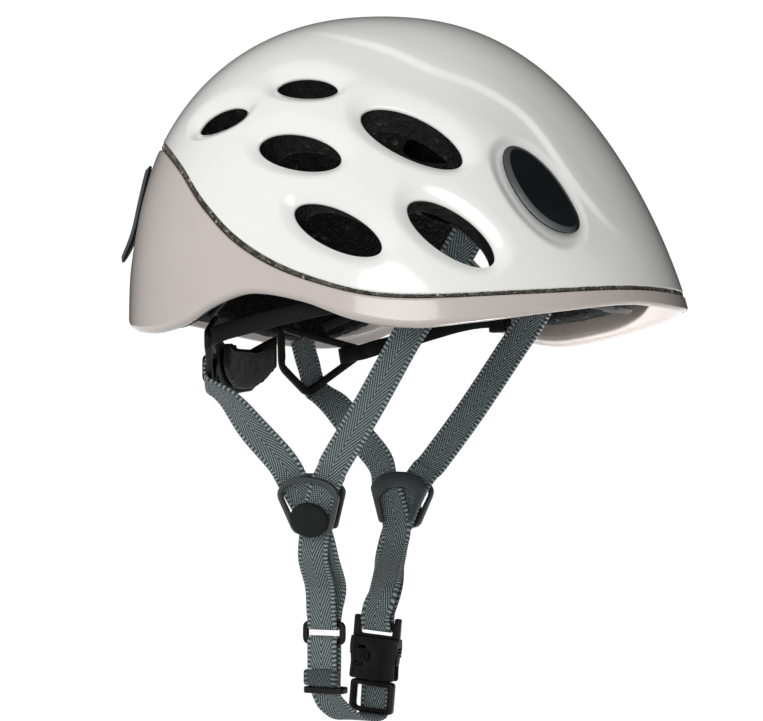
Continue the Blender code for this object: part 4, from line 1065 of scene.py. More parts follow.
# foam showing in the groove between the two shells, in a much lighter copy of the liner foam: painted light against the
# shade in the groove
C = 1100
phi = np.linspace(0, 2 * np.pi, C, endpoint=False)
deg = np.degrees(np.minimum(phi, 2 * np.pi - phi))
hg, zc = seam_gap(deg), table(SEAM, deg)
S = Mesh()
rings = []
jag = 0.5 + 0.5 * np.sin(phi * 151 + 2 * np.sin(phi * 37)) * np.sin(phi * 211 + 1.0)
for k in range(13):
    t = k / 12
    dz = hg * 0.985 * math.cos(math.pi * t) * (1 - 0.10 * jag * (0.4 + 0.6 * abs(math.cos(math.pi * t))))
    p0 = surface(phi, zc + dz)
    dep = 2.5 - (1.95 + 0.25 * np.sin(phi * 173 + 3.0 * t) * np.sin(phi * 97 + 5 * t)) * math.sin(math.pi * t) ** 0.45
    acc = relief(p0, p0[..., :2] * 0, vents=False, crease=False)
    rings.append(S.ring(p0 + normal(p0) * (acc - dep)[:, None]))
p0 = surface(phi, zc)
rings.append(S.ring(p0 - normal(p0) * 2.74))
for a, b in zip(rings[:-1], rings[1:]):
    S.join(a, b)
S.join(rings[-1], rings[0])
make("foam_seam_bead", S.v, S.f, SEAM_FOAM_PAINTED_LIGHT)

# ------------------------------------------------------------------ lower shell
C = 480
phi = np.linspace(0, 2 * np.pi, C, endpoint=False)
deg = np.degrees(np.minimum(phi, 2 * np.pi - phi))
z_rim, z_top = table(RIM, deg), table(SEAM, deg) - seam_gap(deg)
rad = 3.2 - 1.2 * (1 - soft((deg - 20) / 40))
brim_w = 1.9 + 11.4 * (1 - soft((deg - 4) / 37)) + 3.9 * soft((deg - 66) / 18)
brim_up = 1.4 + 6.5 * (1 - soft((deg - 4) / 37)) + 2.6 * soft((deg - 62) / 16)
wall_h = 12.0 - 6.0 * soft((deg - 112) / 30)


def low_skin(z, depth):
    p = surface(phi, z)
    return p + normal(p) * (relief(p, p[..., :2] * 0, vents=False, crease=False) - depth)[:, None]


S = Mesh()
rings = []
edge_r = SKIN / 2
for k in range(5):                       # rounded top edge, from inside to outside
    a = math.pi * (1 - k / 4)
    dep = edge_r + edge_r * math.cos(a - math.pi) * -1
    rings.append(low_skin(z_top - edge_r + edge_r * math.sin(a), edge_r - edge_r * math.cos(a)))
rings = rings[::-1][::-1]
ROWS = 62
z_arc = z_rim + rad
for k in range(1, ROWS + 1):
    t = (k / ROWS)
    rings.append(low_skin(z_top - edge_r + (z_arc - z_top + edge_r) * t, 0.0))
base = rings[-1]
hn = normal(base)
hn[:, 2] = 0
hn = unit(hn)
zz = np.array([0, 0, 1.0])
ctr = base - hn * rad[:, None]
alpha = np.arctan2(brim_up, brim_w)
for k in range(1, 11):
    th = (np.pi / 2 + alpha) * k / 10
    rings.append(ctr + hn * (rad * np.cos(th))[:, None] - zz * (rad * np.sin(th))[:, None])
last = rings[-1]
run = np.hypot(brim_w, brim_up)
inward = -hn * np.cos(alpha)[:, None] + zz * np.sin(alpha)[:, None]
for t in (0.12, 0.3, 0.5, 0.7, 0.86, 0.95):
    sag = 0.5 * math.sin(math.pi * t)
    rings.append(last + inward * (run * t)[:, None] + zz * sag)
E = last + inward * run[:, None]
for k in range(5):                       # turn up into the inner wall
    th = math.pi / 2 * k / 4
    rings.append(E - hn * (1.4 * math.sin(th)) + zz * (1.4 * (1 - math.cos(th))))
W0 = rings[-1]
k_wall = len(rings) - 2
for t in (0.2, 0.4, 0.6, 0.8, 1.0):
    rings.append(W0 + zz * (wall_h * t)[:, None] + hn * (1.2 * t * t))
W1 = rings[-1]
rings.append(W1 + hn * 1.0 + zz * 0.7)
back = low_skin(z_arc + wall_h + 2.0, SKIN)
z_b = np.minimum(W1[:, 2] + 1.0, z_top - 2.4)
rings.append(low_skin(z_b, SKIN))
for t in np.linspace(0, 1, 14)[1:-1]:
    rings.append(low_skin(z_b + (z_top - edge_r - z_b) * t, SKIN))
ids = [S.ring(r) for r in rings]
inner_from = inner_to = 0
for k, (a, b) in enumerate(zip(ids[:-1], ids[1:])):
    if k == k_wall:
        inner_from = len(S.f)
    S.join(a, b)
inner_to = len(S.f)
S.join(ids[-1], ids[0])
low = make("shell_lower_skin", S.v, S.f, TAUPE, replaces=("lower_shell",))
# the inner wall faces take the darker taupe: painted shade inside the brim
low.data.materials.append(TAUPE_PAINTED_SHADE)
for k in range(inner_from, inner_to):
    low.data.polygons[k].material_index = 1


# ------------------------------------------------------------------ flat moulded parts
def inside(pt, loop):
    x, y = pt
    a, b = loop, np.roll(loop, -1, axis=0)
    hit = ((a[:, 1] > y) != (b[:, 1] > y))
    with np.errstate(divide="ignore", invalid="ignore"):
        xs = a[:, 0] + (y - a[:, 1]) / (b[:, 1] - a[:, 1]) * (b[:, 0] - a[:, 0])
    return bool(np.sum(hit & (x < xs)) % 2)


def solid(outer, holes, lo, hi, bevel, steps=3, into=None, bevel_lo=None):
    """Plate with rounded edges outside and round its holes, in local x, y and z."""
    M = into or Mesh()
    bl = bevel if bevel_lo is None else bevel_lo

    def cap(z, b, up):
        loops = [loop_inset(outer, b)] + [loop_inset(h, -b) for h in holes]
        pts = np.concatenate(loops)
        segs, s = [], 0
        for l in loops:
            segs += [(s + i, s + (i + 1) % len(l)) for i in range(len(l))]
            s += len(l)
        vo, eo, fo, ov, oe, of_ = delaunay_2d_cdt([Vector(p) for p in pts], segs, [], 0, 1e-6, True)
        ids = M.ring([(p[0], p[1], z) for p in pts])
        for f in fo:
            g = [ov[i][0] if ov[i] else -1 for i in f]
            if min(g) < 0:
                continue
            c = pts[g].mean(axis=0)
            if not inside(c, loops[0]) or any(inside(c, h) for h in loops[1:]):
                continue
            a, b2, c2 = pts[g]
            ccw = (b2[0] - a[0]) * (c2[1] - a[1]) - (c2[0] - a[0]) * (b2[1] - a[1]) > 0
            g = [ids[i] for i in g]
            M.f.append(tuple(g if ccw == up else g[::-1]))
        out, s = [], 0
        for l in loops:
            out.append(ids[s:s + len(l)])
            s += len(l)
        return out
    top, bot = cap(hi, bevel, True), cap(lo, bl, False)
    for li, (loop, sg) in enumerate([(outer, 1)] + [(h, -1) for h in holes]):
        area2 = np.sum(loop[:, 0] * np.roll(loop[:, 1], -1) - np.roll(loop[:, 0], -1) * loop[:, 1])
        rows = [bot[li]]
        for k in range(1, steps + 1):
            a = math.pi / 2 * k / steps
            rows.append(M.ring([(p[0], p[1], lo + bl * (1 - math.cos(a))) for p in loop_inset(loop, sg * bl * (1 - math.sin(a)))]))
        for k in range(steps):
            a = math.pi / 2 * k / steps
            rows.append(M.ring([(p[0], p[1], hi - bevel * (1 - math.sin(a))) for p in loop_inset(loop, sg * bevel * (1 - math.cos(a)))]))
        rows.append(top[li])
        for a, b in zip(rows[:-1], rows[1:]):
            if (area2 > 0) == (sg > 0):
                M.join(a, b)
            else:
                M.f.extend([f[::-1] for f in strip(a, b)])
    return M


def box_loop(w, h, r, n=64, cx=0.0, cy=0.0):
    return round_outline([(cx - w / 2, cy - h / 2), (cx + w / 2, cy - h / 2), (cx + w / 2, cy + h / 2), (cx - w / 2, cy + h / 2)], r, n)


def oval(a, b, n=64, cx=0.0, cy=0.0):
    t = np.linspace(0, 2 * np.pi, n, endpoint=False)
    return np.stack([cx + a * np.cos(t), cy + b * np.sin(t)], -1)


def pair(name, M, material, slot, body, nodes, **kw):
    """The piece and its mirror image: {s} in names stands for right or left."""
    out = []
    for side in ("right", "left"):
        v, f = (M.v, M.f) if side == "right" else mirror_mesh(M.v, M.f)
        at = kw.get("attr")
        n = make(name.format(s=side), v, f, material, body.format(s=side) if body else None,
                 [x.format(s=side) for x in nodes], angle=kw.get("angle", 40), attr=at)
        out.append(n)
    return out


def bead(M, c, ax, half, r, n=8, rings=5):
    """Small rounded thread stitch along ax."""
    ax = np.array(Vector(ax).normalized())
    side = np.array(Vector(ax).orthogonal().normalized())
    up = np.cross(ax, side)
    loops = []
    for k in range(rings):
        t = -1 + 2 * k / (rings - 1)
        rr = r * math.sqrt(max(0.02, 1 - t * t * 0.96))
        loops.append(M.ring([np.array(c) + ax * half * t + (side * math.cos(a) + up * math.sin(a)) * rr for a in np.linspace(0, 2 * math.pi, n, endpoint=False)]))
    for a, b in zip(loops[:-1], loops[1:]):
        M.join(a, b)
    M.f.append(tuple(loops[0][::-1]))
    M.f.append(tuple(loops[-1]))


# ------------------------------------------------------------------ lamp clips
for where, centre, ang in (("front", CLIP_FRONT, CLIP_FRONT_ANGLE), ("rear", CLIP_REAR, -90.0)):
    m = tangent_frame(centre, ang)
    m.translation = Vector(centre) - Vector(m.col[2][:3]) * CLIP_SEAT_DEPTH
    o = resample(oval(CLIP_HALF_LEN, CLIP_HALF_WID, 400), 120)
    M = Mesh()
    # a thin upright edge, then a wide chamfer up to the flat face
    prof = [(1.1, 0.0), (0.45, 0.1), (0.1, 0.35), (0.0, 0.65), (0.0, 0.9), (0.1, 1.1), (0.35, 1.3), (1.1, 1.8), (2.1, 2.4), (2.5, 2.6), (2.8, 2.68),
            (3.1, 2.7)]
    rings = [M.ring([(p[0], p[1], CLIP_PLATE_LO + h) for p in loop_inset(o, d)]) for d, h in prof]
    inner = loop_inset(o, 3.1)
    for t in (0.25, 0.5, 0.75, 0.9):
        rings.append(M.ring([(p[0] * (1 - t), p[1] * (1 - t), CLIP_PLATE_LO + 2.7 + 0.16 * (1 - (1 - t) ** 2)) for p in inner]))
    low = loop_inset(o, 1.1)
    under = [M.ring([(p[0] * (1 - t), p[1] * (1 - t), CLIP_PLATE_LO + 0.35 * soft(t * 4)) for p in low]) for t in (0.9, 0.75, 0.5, 0.25, 0.1)]
    seq = under + rings
    chamfer = []
    for a, b in zip(seq[:-1], seq[1:]):
        k0 = len(M.f)
        M.join(a, b)
        if b in rings[6:10]:
            chamfer += range(k0, len(M.f))
    M.cap(rings[-1], (0, 0, CLIP_PLATE_LO + 2.86))
    M.cap(under[0][::-1], (0, 0, CLIP_PLATE_LO + 0.35))
    M.v = [(x, y, z + (CLIP_TIP_FLARE * ((x - 4) / (CLIP_HALF_LEN - 4)) ** 2 if x > 4 else 0.0)) for x, y, z in M.v]
    M.place(m)
    for ob in pair("clip_tongue_" + where + "_{s}", M, CLIPB, "hardware", "lamp_clip_" + where + "_{s}", ["lamp_clip_" + where + "_{s}"], angle=None):
        # the chamfer faces take the lighter, glossier edge material: partly painted highlight
        ob.data.materials.append(CLIP_EDGE_PAINTED_HIGHLIGHT)
        for k in chamfer:
            ob.data.polygons[k].material_index = 1
    foot = []
    for x, y in oval(CLIP_HALF_LEN - 4.2, CLIP_HALF_WID - 1.6, 96):
        foot.append((min(x, 1.0), y))
    foot = resample(np.array([p for i, p in enumerate(foot) if p[0] < 1.0 or foot[i - 1][0] < 1.0 or foot[(i + 1) % 96][0] < 1.0]), 90)
    M = solid(foot, [], 0.35, 1.75, 0.35).place(m)
    pair("clip_foot_" + where + "_{s}", M, BLACK, "hardware", "root", ["lamp_clip_base_" + where + "_{s}"])

# ------------------------------------------------------------------ dividers
_l = math.radians(DIVIDER_LEAN)
DIV_OUT = Vector((-math.cos(_l), 0, -math.sin(_l)))
DIV_DOWN = Vector((math.sin(_l), 0, -math.cos(_l)))
DIV_FWD = Vector((0, -1, 0))
M_DIV = Matrix((DIV_FWD, -DIV_DOWN, DIV_OUT)).transposed().to_4x4()
M_DIV.translation = Vector(DIVIDER)


def div_point(u, w, n):
    return Vector(DIVIDER) + DIV_FWD * u + DIV_DOWN * w + DIV_OUT * n


D_OUT = round_outline([(-15.6, 6.5), (-11.0, 12.4), (-3.5, 14.6), (4.5, 14.3), (12.5, 11.6), (16.6, 6.0), (10.0, -12.6), (-8.6, -12.6)][::-1], 3.4, 150)
D_WIN = round_outline([(-12.9, 6.2), (-9.4, 9.9), (-2.7, 11.7), (4.1, 11.5), (10.6, 9.0), (13.9, 5.2), (8.2, -8.6), (-7.2, -8.6)][::-1], 2.6, 110)
D_ARCH = round_outline([(-15.0, 6.3), (-10.6, 11.9), (-3.4, 14.0), (4.4, 13.7), (12.1, 11.1), (16.0, 5.9), (9.6, -12.0),
                        (6.5, -12.0), (8.8, -2.4), (10.0, 1.2), (6.0, 5.2), (0.4, 6.3), (-5.2, 5.2), (-9.4, 1.2), (-8.2, -2.4), (-5.4, -12.0), (-8.2, -12.0)][::-1], 2.2, 240)
M = ring_plate(D_OUT, D_WIN, 0.6, 3.0, 0.75, crown=0.18, steps=4)
ring_plate_lip = loop_inset(D_OUT, 1.15), loop_inset(D_OUT, 2.1)
L2 = ring_plate(*ring_plate_lip, 2.7, 3.42, 0.3, steps=2)
k0 = len(M.v)
M.v += L2.v
M.f += [tuple(i + k0 for i in f) for f in L2.f]
pair("divider_ring_{s}", M.place(M_DIV), GREY, "divider_grey", "root", ["divider_frame_{s}"], angle=None)
M = solid(D_ARCH, [], -6.9, -5.3, 0.55).place(M_DIV)
pair("divider_plate_{s}", M, GREY, "divider_grey", "root", ["divider_back_{s}"])
M = Mesh()
rings = []
for sc, h in ((0.86, 3.32), (0.955, 3.36), (0.99, 3.55), (1.0, 3.9), (0.995, 4.35), (0.975, 4.8), (0.935, 5.2), (0.88, 5.52), (0.81, 5.72), (0.79, 5.70),
              (0.77, 5.80), (0.66, 6.12), (0.52, 6.42), (0.36, 6.64), (0.18, 6.78)):
    rings.append(M.ring([(p[0] * sc + 0.7, p[1] * sc - 5.4, h) for p in oval(9.6, 8.2, 96)]))
for a, b in zip(rings[:-1], rings[1:]):
    M.join(a, b)
M.cap(rings[-1], (0.7, -5.4, 6.83))
M.cap(rings[0][::-1], (0.7, -5.4, 3.32))
pair("divider_lock_{s}", M.place(M_DIV), CAPB, "hardware", "divider_cap_{s}", ["divider_cap_{s}"], angle=None)

# ------------------------------------------------------------------ webbing
SL_T = 2.4
WRAP = SL_T / 2 + 0.65 + WEB_T / 2
BAR_X, SL_TOP = SLIDER[0], SLIDER[2] + 5.5


def side_webbing(end_bar, lean, tilt):
    V = (0, -math.cos(tilt), -math.sin(tilt))
    bx, by, bz = end_bar
    pts = []

    def add(p, w=(0, -1, 0)):
        pts.append((p[0], p[1], p[2], w[0], w[1], w[2]))
    add((-55.6, -60.6, 42.0), (0.35, -0.75, -0.6))
    add((-62.0, -53.2, 26.0), (0.2, -0.8, -0.55))
    add((-65.0, -43.5, 8.0), (0.1, -0.85, -0.5))
    add((-65.2, -30.5, -10.0), (0.0, -0.82, -0.55))
    add((-61.5, -10.5, -40.0), (0.0, -0.82, -0.55))
    add((-57.6, 8.0, -65.5), (0.0, -0.84, -0.52))
    add(div_point(11.6, -15.5, -1.4), (0.0, -0.84, -0.5))
    add(div_point(7.3, -8.5, -1.5), (0.0, -0.9, -0.38))
    add(div_point(3.3, 2.0, -1.5), (0.0, -0.98, -0.14))
    add(div_point(-0.3, 14.0, -1.6))
    add((-43.6, 26.0, -110.7))
    add((bx - WRAP - 10.0 * lean, by - 0.8, bz + 17.0))
    add((bx - WRAP - 1.0, by, bz + 6.0), V)
    add((bx - WRAP, by, bz + 1.0), V)
    add((bx - WRAP * 0.72, by, bz - WRAP * 0.72), V)
    add((bx, by, bz - WRAP), V)
    add((bx + WRAP * 0.72, by, bz - WRAP * 0.72), V)
    add((bx + WRAP, by, bz + 1.0), V)
    add((bx + WRAP + 0.5, by - 0.4, bz + 6.0), V)
    add((bx + WRAP - 5.5 * lean + 1.0, by - 3.0, bz + 17.0))
    add((-38.6, 22.6, -110.7))
    add(div_point(0.6, 14.0, -3.9))
    add(div_point(-3.4, 2.0, -3.7), (0.0, -1.0, 0.14))
    add(div_point(-8.3, -8.6, -3.6), (0.0, -0.86, 0.5))
    add((-54.6, 36.5, -66.0), (0.0, -0.72, 0.68))
    add((-56.4, 50.0, -51.5), (-0.1, -0.70, 0.68))
    c, sn = math.cos(math.radians(BRACKET_TURN)), math.sin(math.radians(BRACKET_TURN))
    for t, z, n in ((4.1, -38.5, -9.2), (1.4, -32.4, -1.2), (0.2, -30.4, 1.7), (-1.0, -27.6, 2.7), (-2.6, -24.0, 2.5), (-5.0, -19.0, 1.4), (-8.6, -11.5, 0.6), (-12.2, -3.8, -0.6)):
        k = 1.0 if n > -5 else 0.55
        add((-BRACKET[0] - t * c - n * sn, BRACKET[1] - t * sn + n * c, BRACKET[2] + z), (-0.786 * k, -0.35 - 0.35 * (1 - k), 0.51))
    return pts


def web_section():
    """Across and through: thin grooves inside both edges, rounded edges."""
    top = [(-7.42, 0.22), (-7.25, 0.50), (-6.9, 0.66), (-6.3, 0.70), (-5.8, 0.56), (-5.5, 0.50), (-5.2, 0.62), (-4.2, 0.68), (-2.7, 0.66), (-1.3, 0.68), (0.0, 0.66),
           (1.3, 0.68), (2.7, 0.66), (4.2, 0.68), (5.2, 0.62), (5.5, 0.50), (5.8, 0.56), (6.3, 0.70), (6.9, 0.66), (7.25, 0.50), (7.42, 0.22)]
    return top + [(x, -t) for x, t in top[::-1]]


def web(name, stations, replaces, side=None, phase=0.0, step=0.475, per=14):
    sec = web_section()
    M, s, P, W, Nn = sweep(stations, sec, step, per)
    k = len(sec)
    sv = np.array(sec)
    wave = 0.5 + 0.5 * np.sin((s + phase) * 2 * np.pi / 2.1)
    V = np.array(M.v[:len(s) * k]).reshape(len(s), k, 3)
    edge = np.clip((np.abs(sv[:, 0]) - 5.7) / 1.0, 0, 1)
    V = V + W[:, None, :] * (np.sign(sv[:, 0]) * edge * 0.14)[None, :, None] * (wave[:, None, None] - 0.4)
    V = V + Nn[:, None, :] * (np.sign(sv[:, 1]) * edge * 0.07)[None, :, None] * (wave[:, None, None] - 0.6)
    at = np.zeros((len(M.v), 3))
    at[:len(s) * k, 0] = np.repeat(s + phase, k)
    at[:len(s) * k, 1] = np.tile(sv[:, 0], len(s))
    at[len(s) * k:, 0] = (s[0] + phase, s[-1] + phase)
    v = np.concatenate([V.reshape(-1, 3), np.array(M.v[len(s) * k:])])
    f = M.f
    if side == "left":
        v, f = mirror_mesh(v, f)
    return make(name, v, f, WEB, None, replaces, angle=None, attr=at)


tilt = math.radians(BUCKLE_TILT)
BUCKLE_AXIS = Vector((0, math.sin(tilt), -math.cos(tilt)))
M_BUC = Matrix((Vector((0, -math.cos(tilt), -math.sin(tilt))), -BUCKLE_AXIS, Vector((-1, 0, 0)))).transposed().to_4x4()
M_BUC.translation = Vector(BUCKLE)
FEM_BAR = M_BUC @ Vector((0, 13.6, 0))
W_R = web("side_strap_right", side_webbing((BAR_X, SLIDER[1], SL_TOP - 1.0), 0.42, 0.0), ("webbing_right",))
W_L = web("side_strap_left", side_webbing((-FEM_BAR.x, FEM_BAR.y, FEM_BAR.z), 0.78, tilt), ("webbing_left",), side="left", phase=0.7)
for ob, sx in ((W_R, -1), (W_L, 1)):
    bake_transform(ob)

KEEPER_Z = SLIDER[2] - 26.6
LB_Z = SLIDER[2] - 4.5
BOT = M_BUC @ Vector((0, -27.2, 0))
st = []
for p, w in (((BAR_X + WRAP + 1.2, SLIDER[1] + 0.1, KEEPER_Z - 3.6), (0, -1, 0)),
             ((-17.0, 28.0, -180.0), (0.1, -1, 0.1)),
             ((-8.0, 25.0, -185.6), (0.1, -1, 0.05)),
             ((3.0, 22.4, -187.6), (0, -1, -0.04)),
             ((BOT.x + 0.6, BOT.y, BOT.z - 2.9), (0, -1, -0.08)),
             ((BOT.x + 3.6, BOT.y - 0.1, BOT.z - 0.6), (0, -1, -0.08)),
             ((BOT.x + 3.7, BOT.y - 0.4, BOT.z + 4.0), (0, -1, -0.08)),
             ((BOT.x + 3.4, BOT.y - 1.0, BOT.z + 11.0), (0, -1, -0.08))):
    st.append((p[0], p[1], p[2], w[0], w[1], w[2]))
st = st[::-1]
for p in ((BAR_X + WRAP + 0.1, SLIDER[1] + 0.3, KEEPER_Z - 0.2), (BAR_X + WRAP, SLIDER[1], LB_Z - 10.0), (BAR_X + WRAP, SLIDER[1], LB_Z - 1.0),
          (BAR_X + WRAP * 0.72, SLIDER[1], LB_Z + WRAP * 0.72), (BAR_X, SLIDER[1], LB_Z + WRAP),
          (BAR_X - WRAP * 0.72, SLIDER[1], LB_Z + WRAP * 0.72), (BAR_X - WRAP, SLIDER[1], LB_Z - 1.0),
          (BAR_X - WRAP + 0.1, SLIDER[1], LB_Z - 9.0), (BAR_X - WRAP + 0.2, SLIDER[1], LB_Z - 12.0)):
    st.append((p[0], p[1], p[2], 0, -1, 0))
chin = web("chin_strap", st, ("chin_strap_tail", "buckle_strap"), phase=0.3)
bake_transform(chin)

# folded and stitched end of the tail
m = Matrix((Vector((0, -1, 0)), Vector((0, 0, 1)), Vector((-1, 0, 0)))).transposed().to_4x4()
m.translation = Vector((BAR_X - WRAP + 0.4, SLIDER[1] + 0.4, LB_Z - 16.0))
M = disc_plate(box_loop(17.0, 7.4, 1.6, 120), -2.0, 2.7, 1.5, crown=0.25, steps=5, rows_in=6)
at = np.array([(p[1] + 3.0, p[0] * 0.9, 0) for p in M.v])
M.place(m)
make("strap_end_fold", M.v, M.f, WEB_DARK, "root", ("strap_end_tab",), angle=None, attr=at)
T = Mesh()
for y in (-2.0, 2.0):
    for k in range(9):
        c = m @ Vector((-6.2 + 1.55 * k, y, 2.85 - 0.02 * (k - 4) ** 2))
        bead(T, c, m.to_3x3() @ Vector((1, 0, 0)), 0.55, 0.2)
THREAD = plastic("thread_grey", (0.085, 0.095, 0.10), 0.7, grain=4000.0, amount=0.4)
make("strap_end_stitches", T.v, T.f, THREAD, "root", angle=None)

# ------------------------------------------------------------------ chin slider and keeper
M_SL = Matrix((Vector((0, -1, 0)), Vector((0, 0, 1)), Vector((-1, 0, 0)))).transposed().to_4x4()
M_SL.translation = Vector(SLIDER)
M = ring_plate(box_loop(21.6, 11.0, 3.6, 120), box_loop(16.0, 7.0, 1.4, 100), -SL_T / 2, SL_T / 2, 0.85, crown=0.05, steps=4).place(M_SL)
make("chin_ladder", M.v, M.f, BLACK, "root", ("chin_slider",), angle=None)
M = ring_plate(box_loop(8.4, 20.4, 2.8, 120), box_loop(5.2, 17.0, 1.6, 100), -1.5, 1.5, 0.6, steps=3)
M.place(Matrix.Translation(Vector((SLIDER[0] + 2.2, SLIDER[1] + 0.3, KEEPER_Z))))
make("keeper_loop", M.v, M.f, BLACK, "root", ("strap_keeper",), angle=None)

# ------------------------------------------------------------------ side release buckle
F_OUT = round_outline([(-12.0, 7.6), (12.0, 7.6), (12.4, 2.0), (11.2, -4.0), (11.6, -12.6), (-11.6, -12.6), (-11.2, -4.0), (-12.4, 2.0)][::-1], 1.8, 160)
SIGHT = oval(2.3, 2.6, 48, -2.4, -1.3)
M = solid(F_OUT, [SIGHT, box_loop(3.9, 1.7, 0.5, 36, -6.0, 2.8), box_loop(4.3, 1.7, 0.5, 36, -6.9, -5.4)], 2.2, 3.5, 0.55, bevel_lo=0.1)
solid(F_OUT, [oval(1.5, 3.2, 40, -1.5, 1.6)], -3.5, -2.2, 0.1, bevel_lo=0.55, into=M)
solid(round_outline([(-12.0, 7.55), (12.0, 7.55), (12.25, 3.3), (-12.25, 3.3)][::-1], 0.6, 80), [], -3.3, 3.3, 0.35, into=M)
solid(oval(2.8, 3.1, 60, -2.4, -1.3), [oval(0.5, 1.6, 36, -2.1, -1.2)], 2.25, 2.7, 0.15, into=M)
solid(box_loop(0.7, 18.4, 0.3, 60, -9.7, -2.6), [], 3.3, 3.85, 0.25, into=M)
for u in (-12.05, 12.05):
    for w in (-0.6, 0.9, 2.4):
        solid(box_loop(0.8, 0.8, 0.35, 20, u, w), [], -2.9, 2.9, 0.3, into=M)
YOKE = round_outline([(-12.0, 6.6), (12.0, 6.6), (12.0, 17.4), (9.0, 17.4), (9.0, 14.8), (-9.0, 14.8), (-9.0, 17.4), (-12.0, 17.4)], 0.9, 200)
solid(YOKE, [box_loop(16.4, 3.6, 0.8, 80, 0, 10.6)], -1.2, 1.2, 0.45, into=M)
M.place(M_BUC)
make("buckle_socket", M.v, M.f, BLACK, "root", ("buckle_female",), angle=40)
MT, MB = -13.2, -28.4
M = ring_plate(box_loop(22.4, MT - MB, 2.0, 140, 0, (MT + MB) / 2), box_loop(16.6, 10.6, 1.4, 120, 0, -20.9), -1.9, 1.9, 0.7, crown=0.1, steps=3)
solid(round_outline([(-2.6, -14.0), (2.6, -14.0), (2.2, 1.6), (-2.2, 1.6)], 0.6, 80), [], -1.5, 1.5, 0.35, into=M)
M.place(M_BUC)
make("buckle_plug", M.v, M.f, BLACK, "buckle_male", ("buckle_male",), angle=50)
for side, sg in (("front", 1), ("rear", -1)):
    out = [(5.2 * sg, -12.8), (8.0 * sg, -12.8), (8.4 * sg, -6.0), (12.2 * sg, -4.6), (12.4 * sg, 0.6), (9.0 * sg, 2.4), (6.6 * sg, 2.4), (6.0 * sg, -5.0)]
    M = solid(round_outline(out if sg > 0 else out[::-1], 0.8, 110), [], -1.6, 1.6, 0.4).place(M_BUC)
    make(f"buckle_arm_{side}", M.v, M.f, BLACK, f"buckle_prong_{side}", (f"buckle_prong_{side}",), angle=40)

# ------------------------------------------------------------------ nape cradle
_b = math.radians(BRACKET_TURN)
M_BR = Matrix((Vector((-math.cos(_b), -math.sin(_b), 0)), Vector((0, 0, 1)), Vector((-math.sin(_b), math.cos(_b), 0)))).transposed().to_4x4()
M_BR.translation = Vector((-BRACKET[0], BRACKET[1], BRACKET[2]))
BR_OUT = [(-27.0, 3.0), (-26.0, -20.0), (-8.0, -34.0), (27.5, -13.5), (27.5, -6.6)]
B_OUT = round_outline(BR_OUT, 4.4, 200)
B_WIN = round_outline([tuple(p) for p in loop_inset(resample(np.array(BR_OUT, float), 400), 3.7)[::16]], 1.5, 150)
M = solid(B_OUT, [B_WIN], -1.2, 1.2, 0.55).place(M_BR)
pair("nape_bracket_{s}_skin", M, HARN_PAINTED_SHADE, "harness", "nape_cradle", ["nape_bracket_{s}"])
to_world = lambda p: tuple(M_BR @ Vector(p))
st = [to_world(p) + tuple(M_BR.to_3x3() @ Vector((1, 0, 0))) for p in ((-26.5, 3.7, 0.0), (-26.5, 12.0, 0.0), (-26.0, 22.0, 1.2), (-25.5, 33.0, 6.0), (-25.0, 42.0, 12.0))]
M = sweep(st, rounded_section(7.0, 1.8, 0.75, 3), 1.2, 12)[0]
for ob, sx in zip(pair("hanger_rear_{s}", M, HARN_PAINTED_SHADE, "harness", None, ["nape_hanger_rear_{s}"], angle=50), (-1, 1)):
    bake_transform(ob)
st = [p + (0.35, 0.25, 0.9) for p in ((-60.5, 70.4, 2.2), (-64.5, 65.0, 5.2), (-72.0, 55.0, 10.4), (-79.2, 45.5, 16.0))]
M = sweep(st, rounded_section(5.0, 1.8, 0.75, 3), 1.2, 12)[0]
for ob, sx in zip(pair("hanger_side_{s}", M, HARN_PAINTED_SHADE, "harness", None, ["nape_hanger_side_{s}"], angle=50), (-1, 1)):
    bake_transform(ob)
st = [to_world(p) for p in ((12.0, -12.6, -2.5), (20.0, -11.2, -2.5), (28.0, -9.8, -2.6))]
st += [(-84.2, 50.0, -7.4), (-84.6, 36.0, -4.4), (-82.6, 20.0, -0.6), (-79.2, 4.0, 2.8), (-77.5, -8.0, 4.4), (-77.3, -18.0, 4.6), (-77.1, -25.0, 4.6)]
M = sweep([tuple(p) + (0, 0.05, 1) for p in st], rounded_section(8.0, 1.3, 0.55, 3), 1.2, 12)[0]
pair("temple_band_{s}", M, HARN_PAINTED_SHADE, "harness", "nape_cradle", ["head_band_{s}"], angle=50)
m = Matrix((Vector((-1, 0, 0)), Vector((0, 0, 1)), Vector((0, 1, 0)))).transposed().to_4x4()
m.translation = Vector((-78.4, -18.0, 4.6))
M = solid(round_outline([(-3.6, -6.4), (3.2, -6.4), (3.2, 6.4), (-3.6, 6.4)], 1.2, 90), [box_loop(2.6, 9.4, 0.5, 60, -0.9, 0)], -4.0, 4.0, 0.5).place(m)
pair("temple_staple_{s}", M, HARN_PAINTED_SHADE, "harness", "root", ["temple_guide_{s}"])


def cradle_y(x):
    return 88.5 - x * x / 170.0


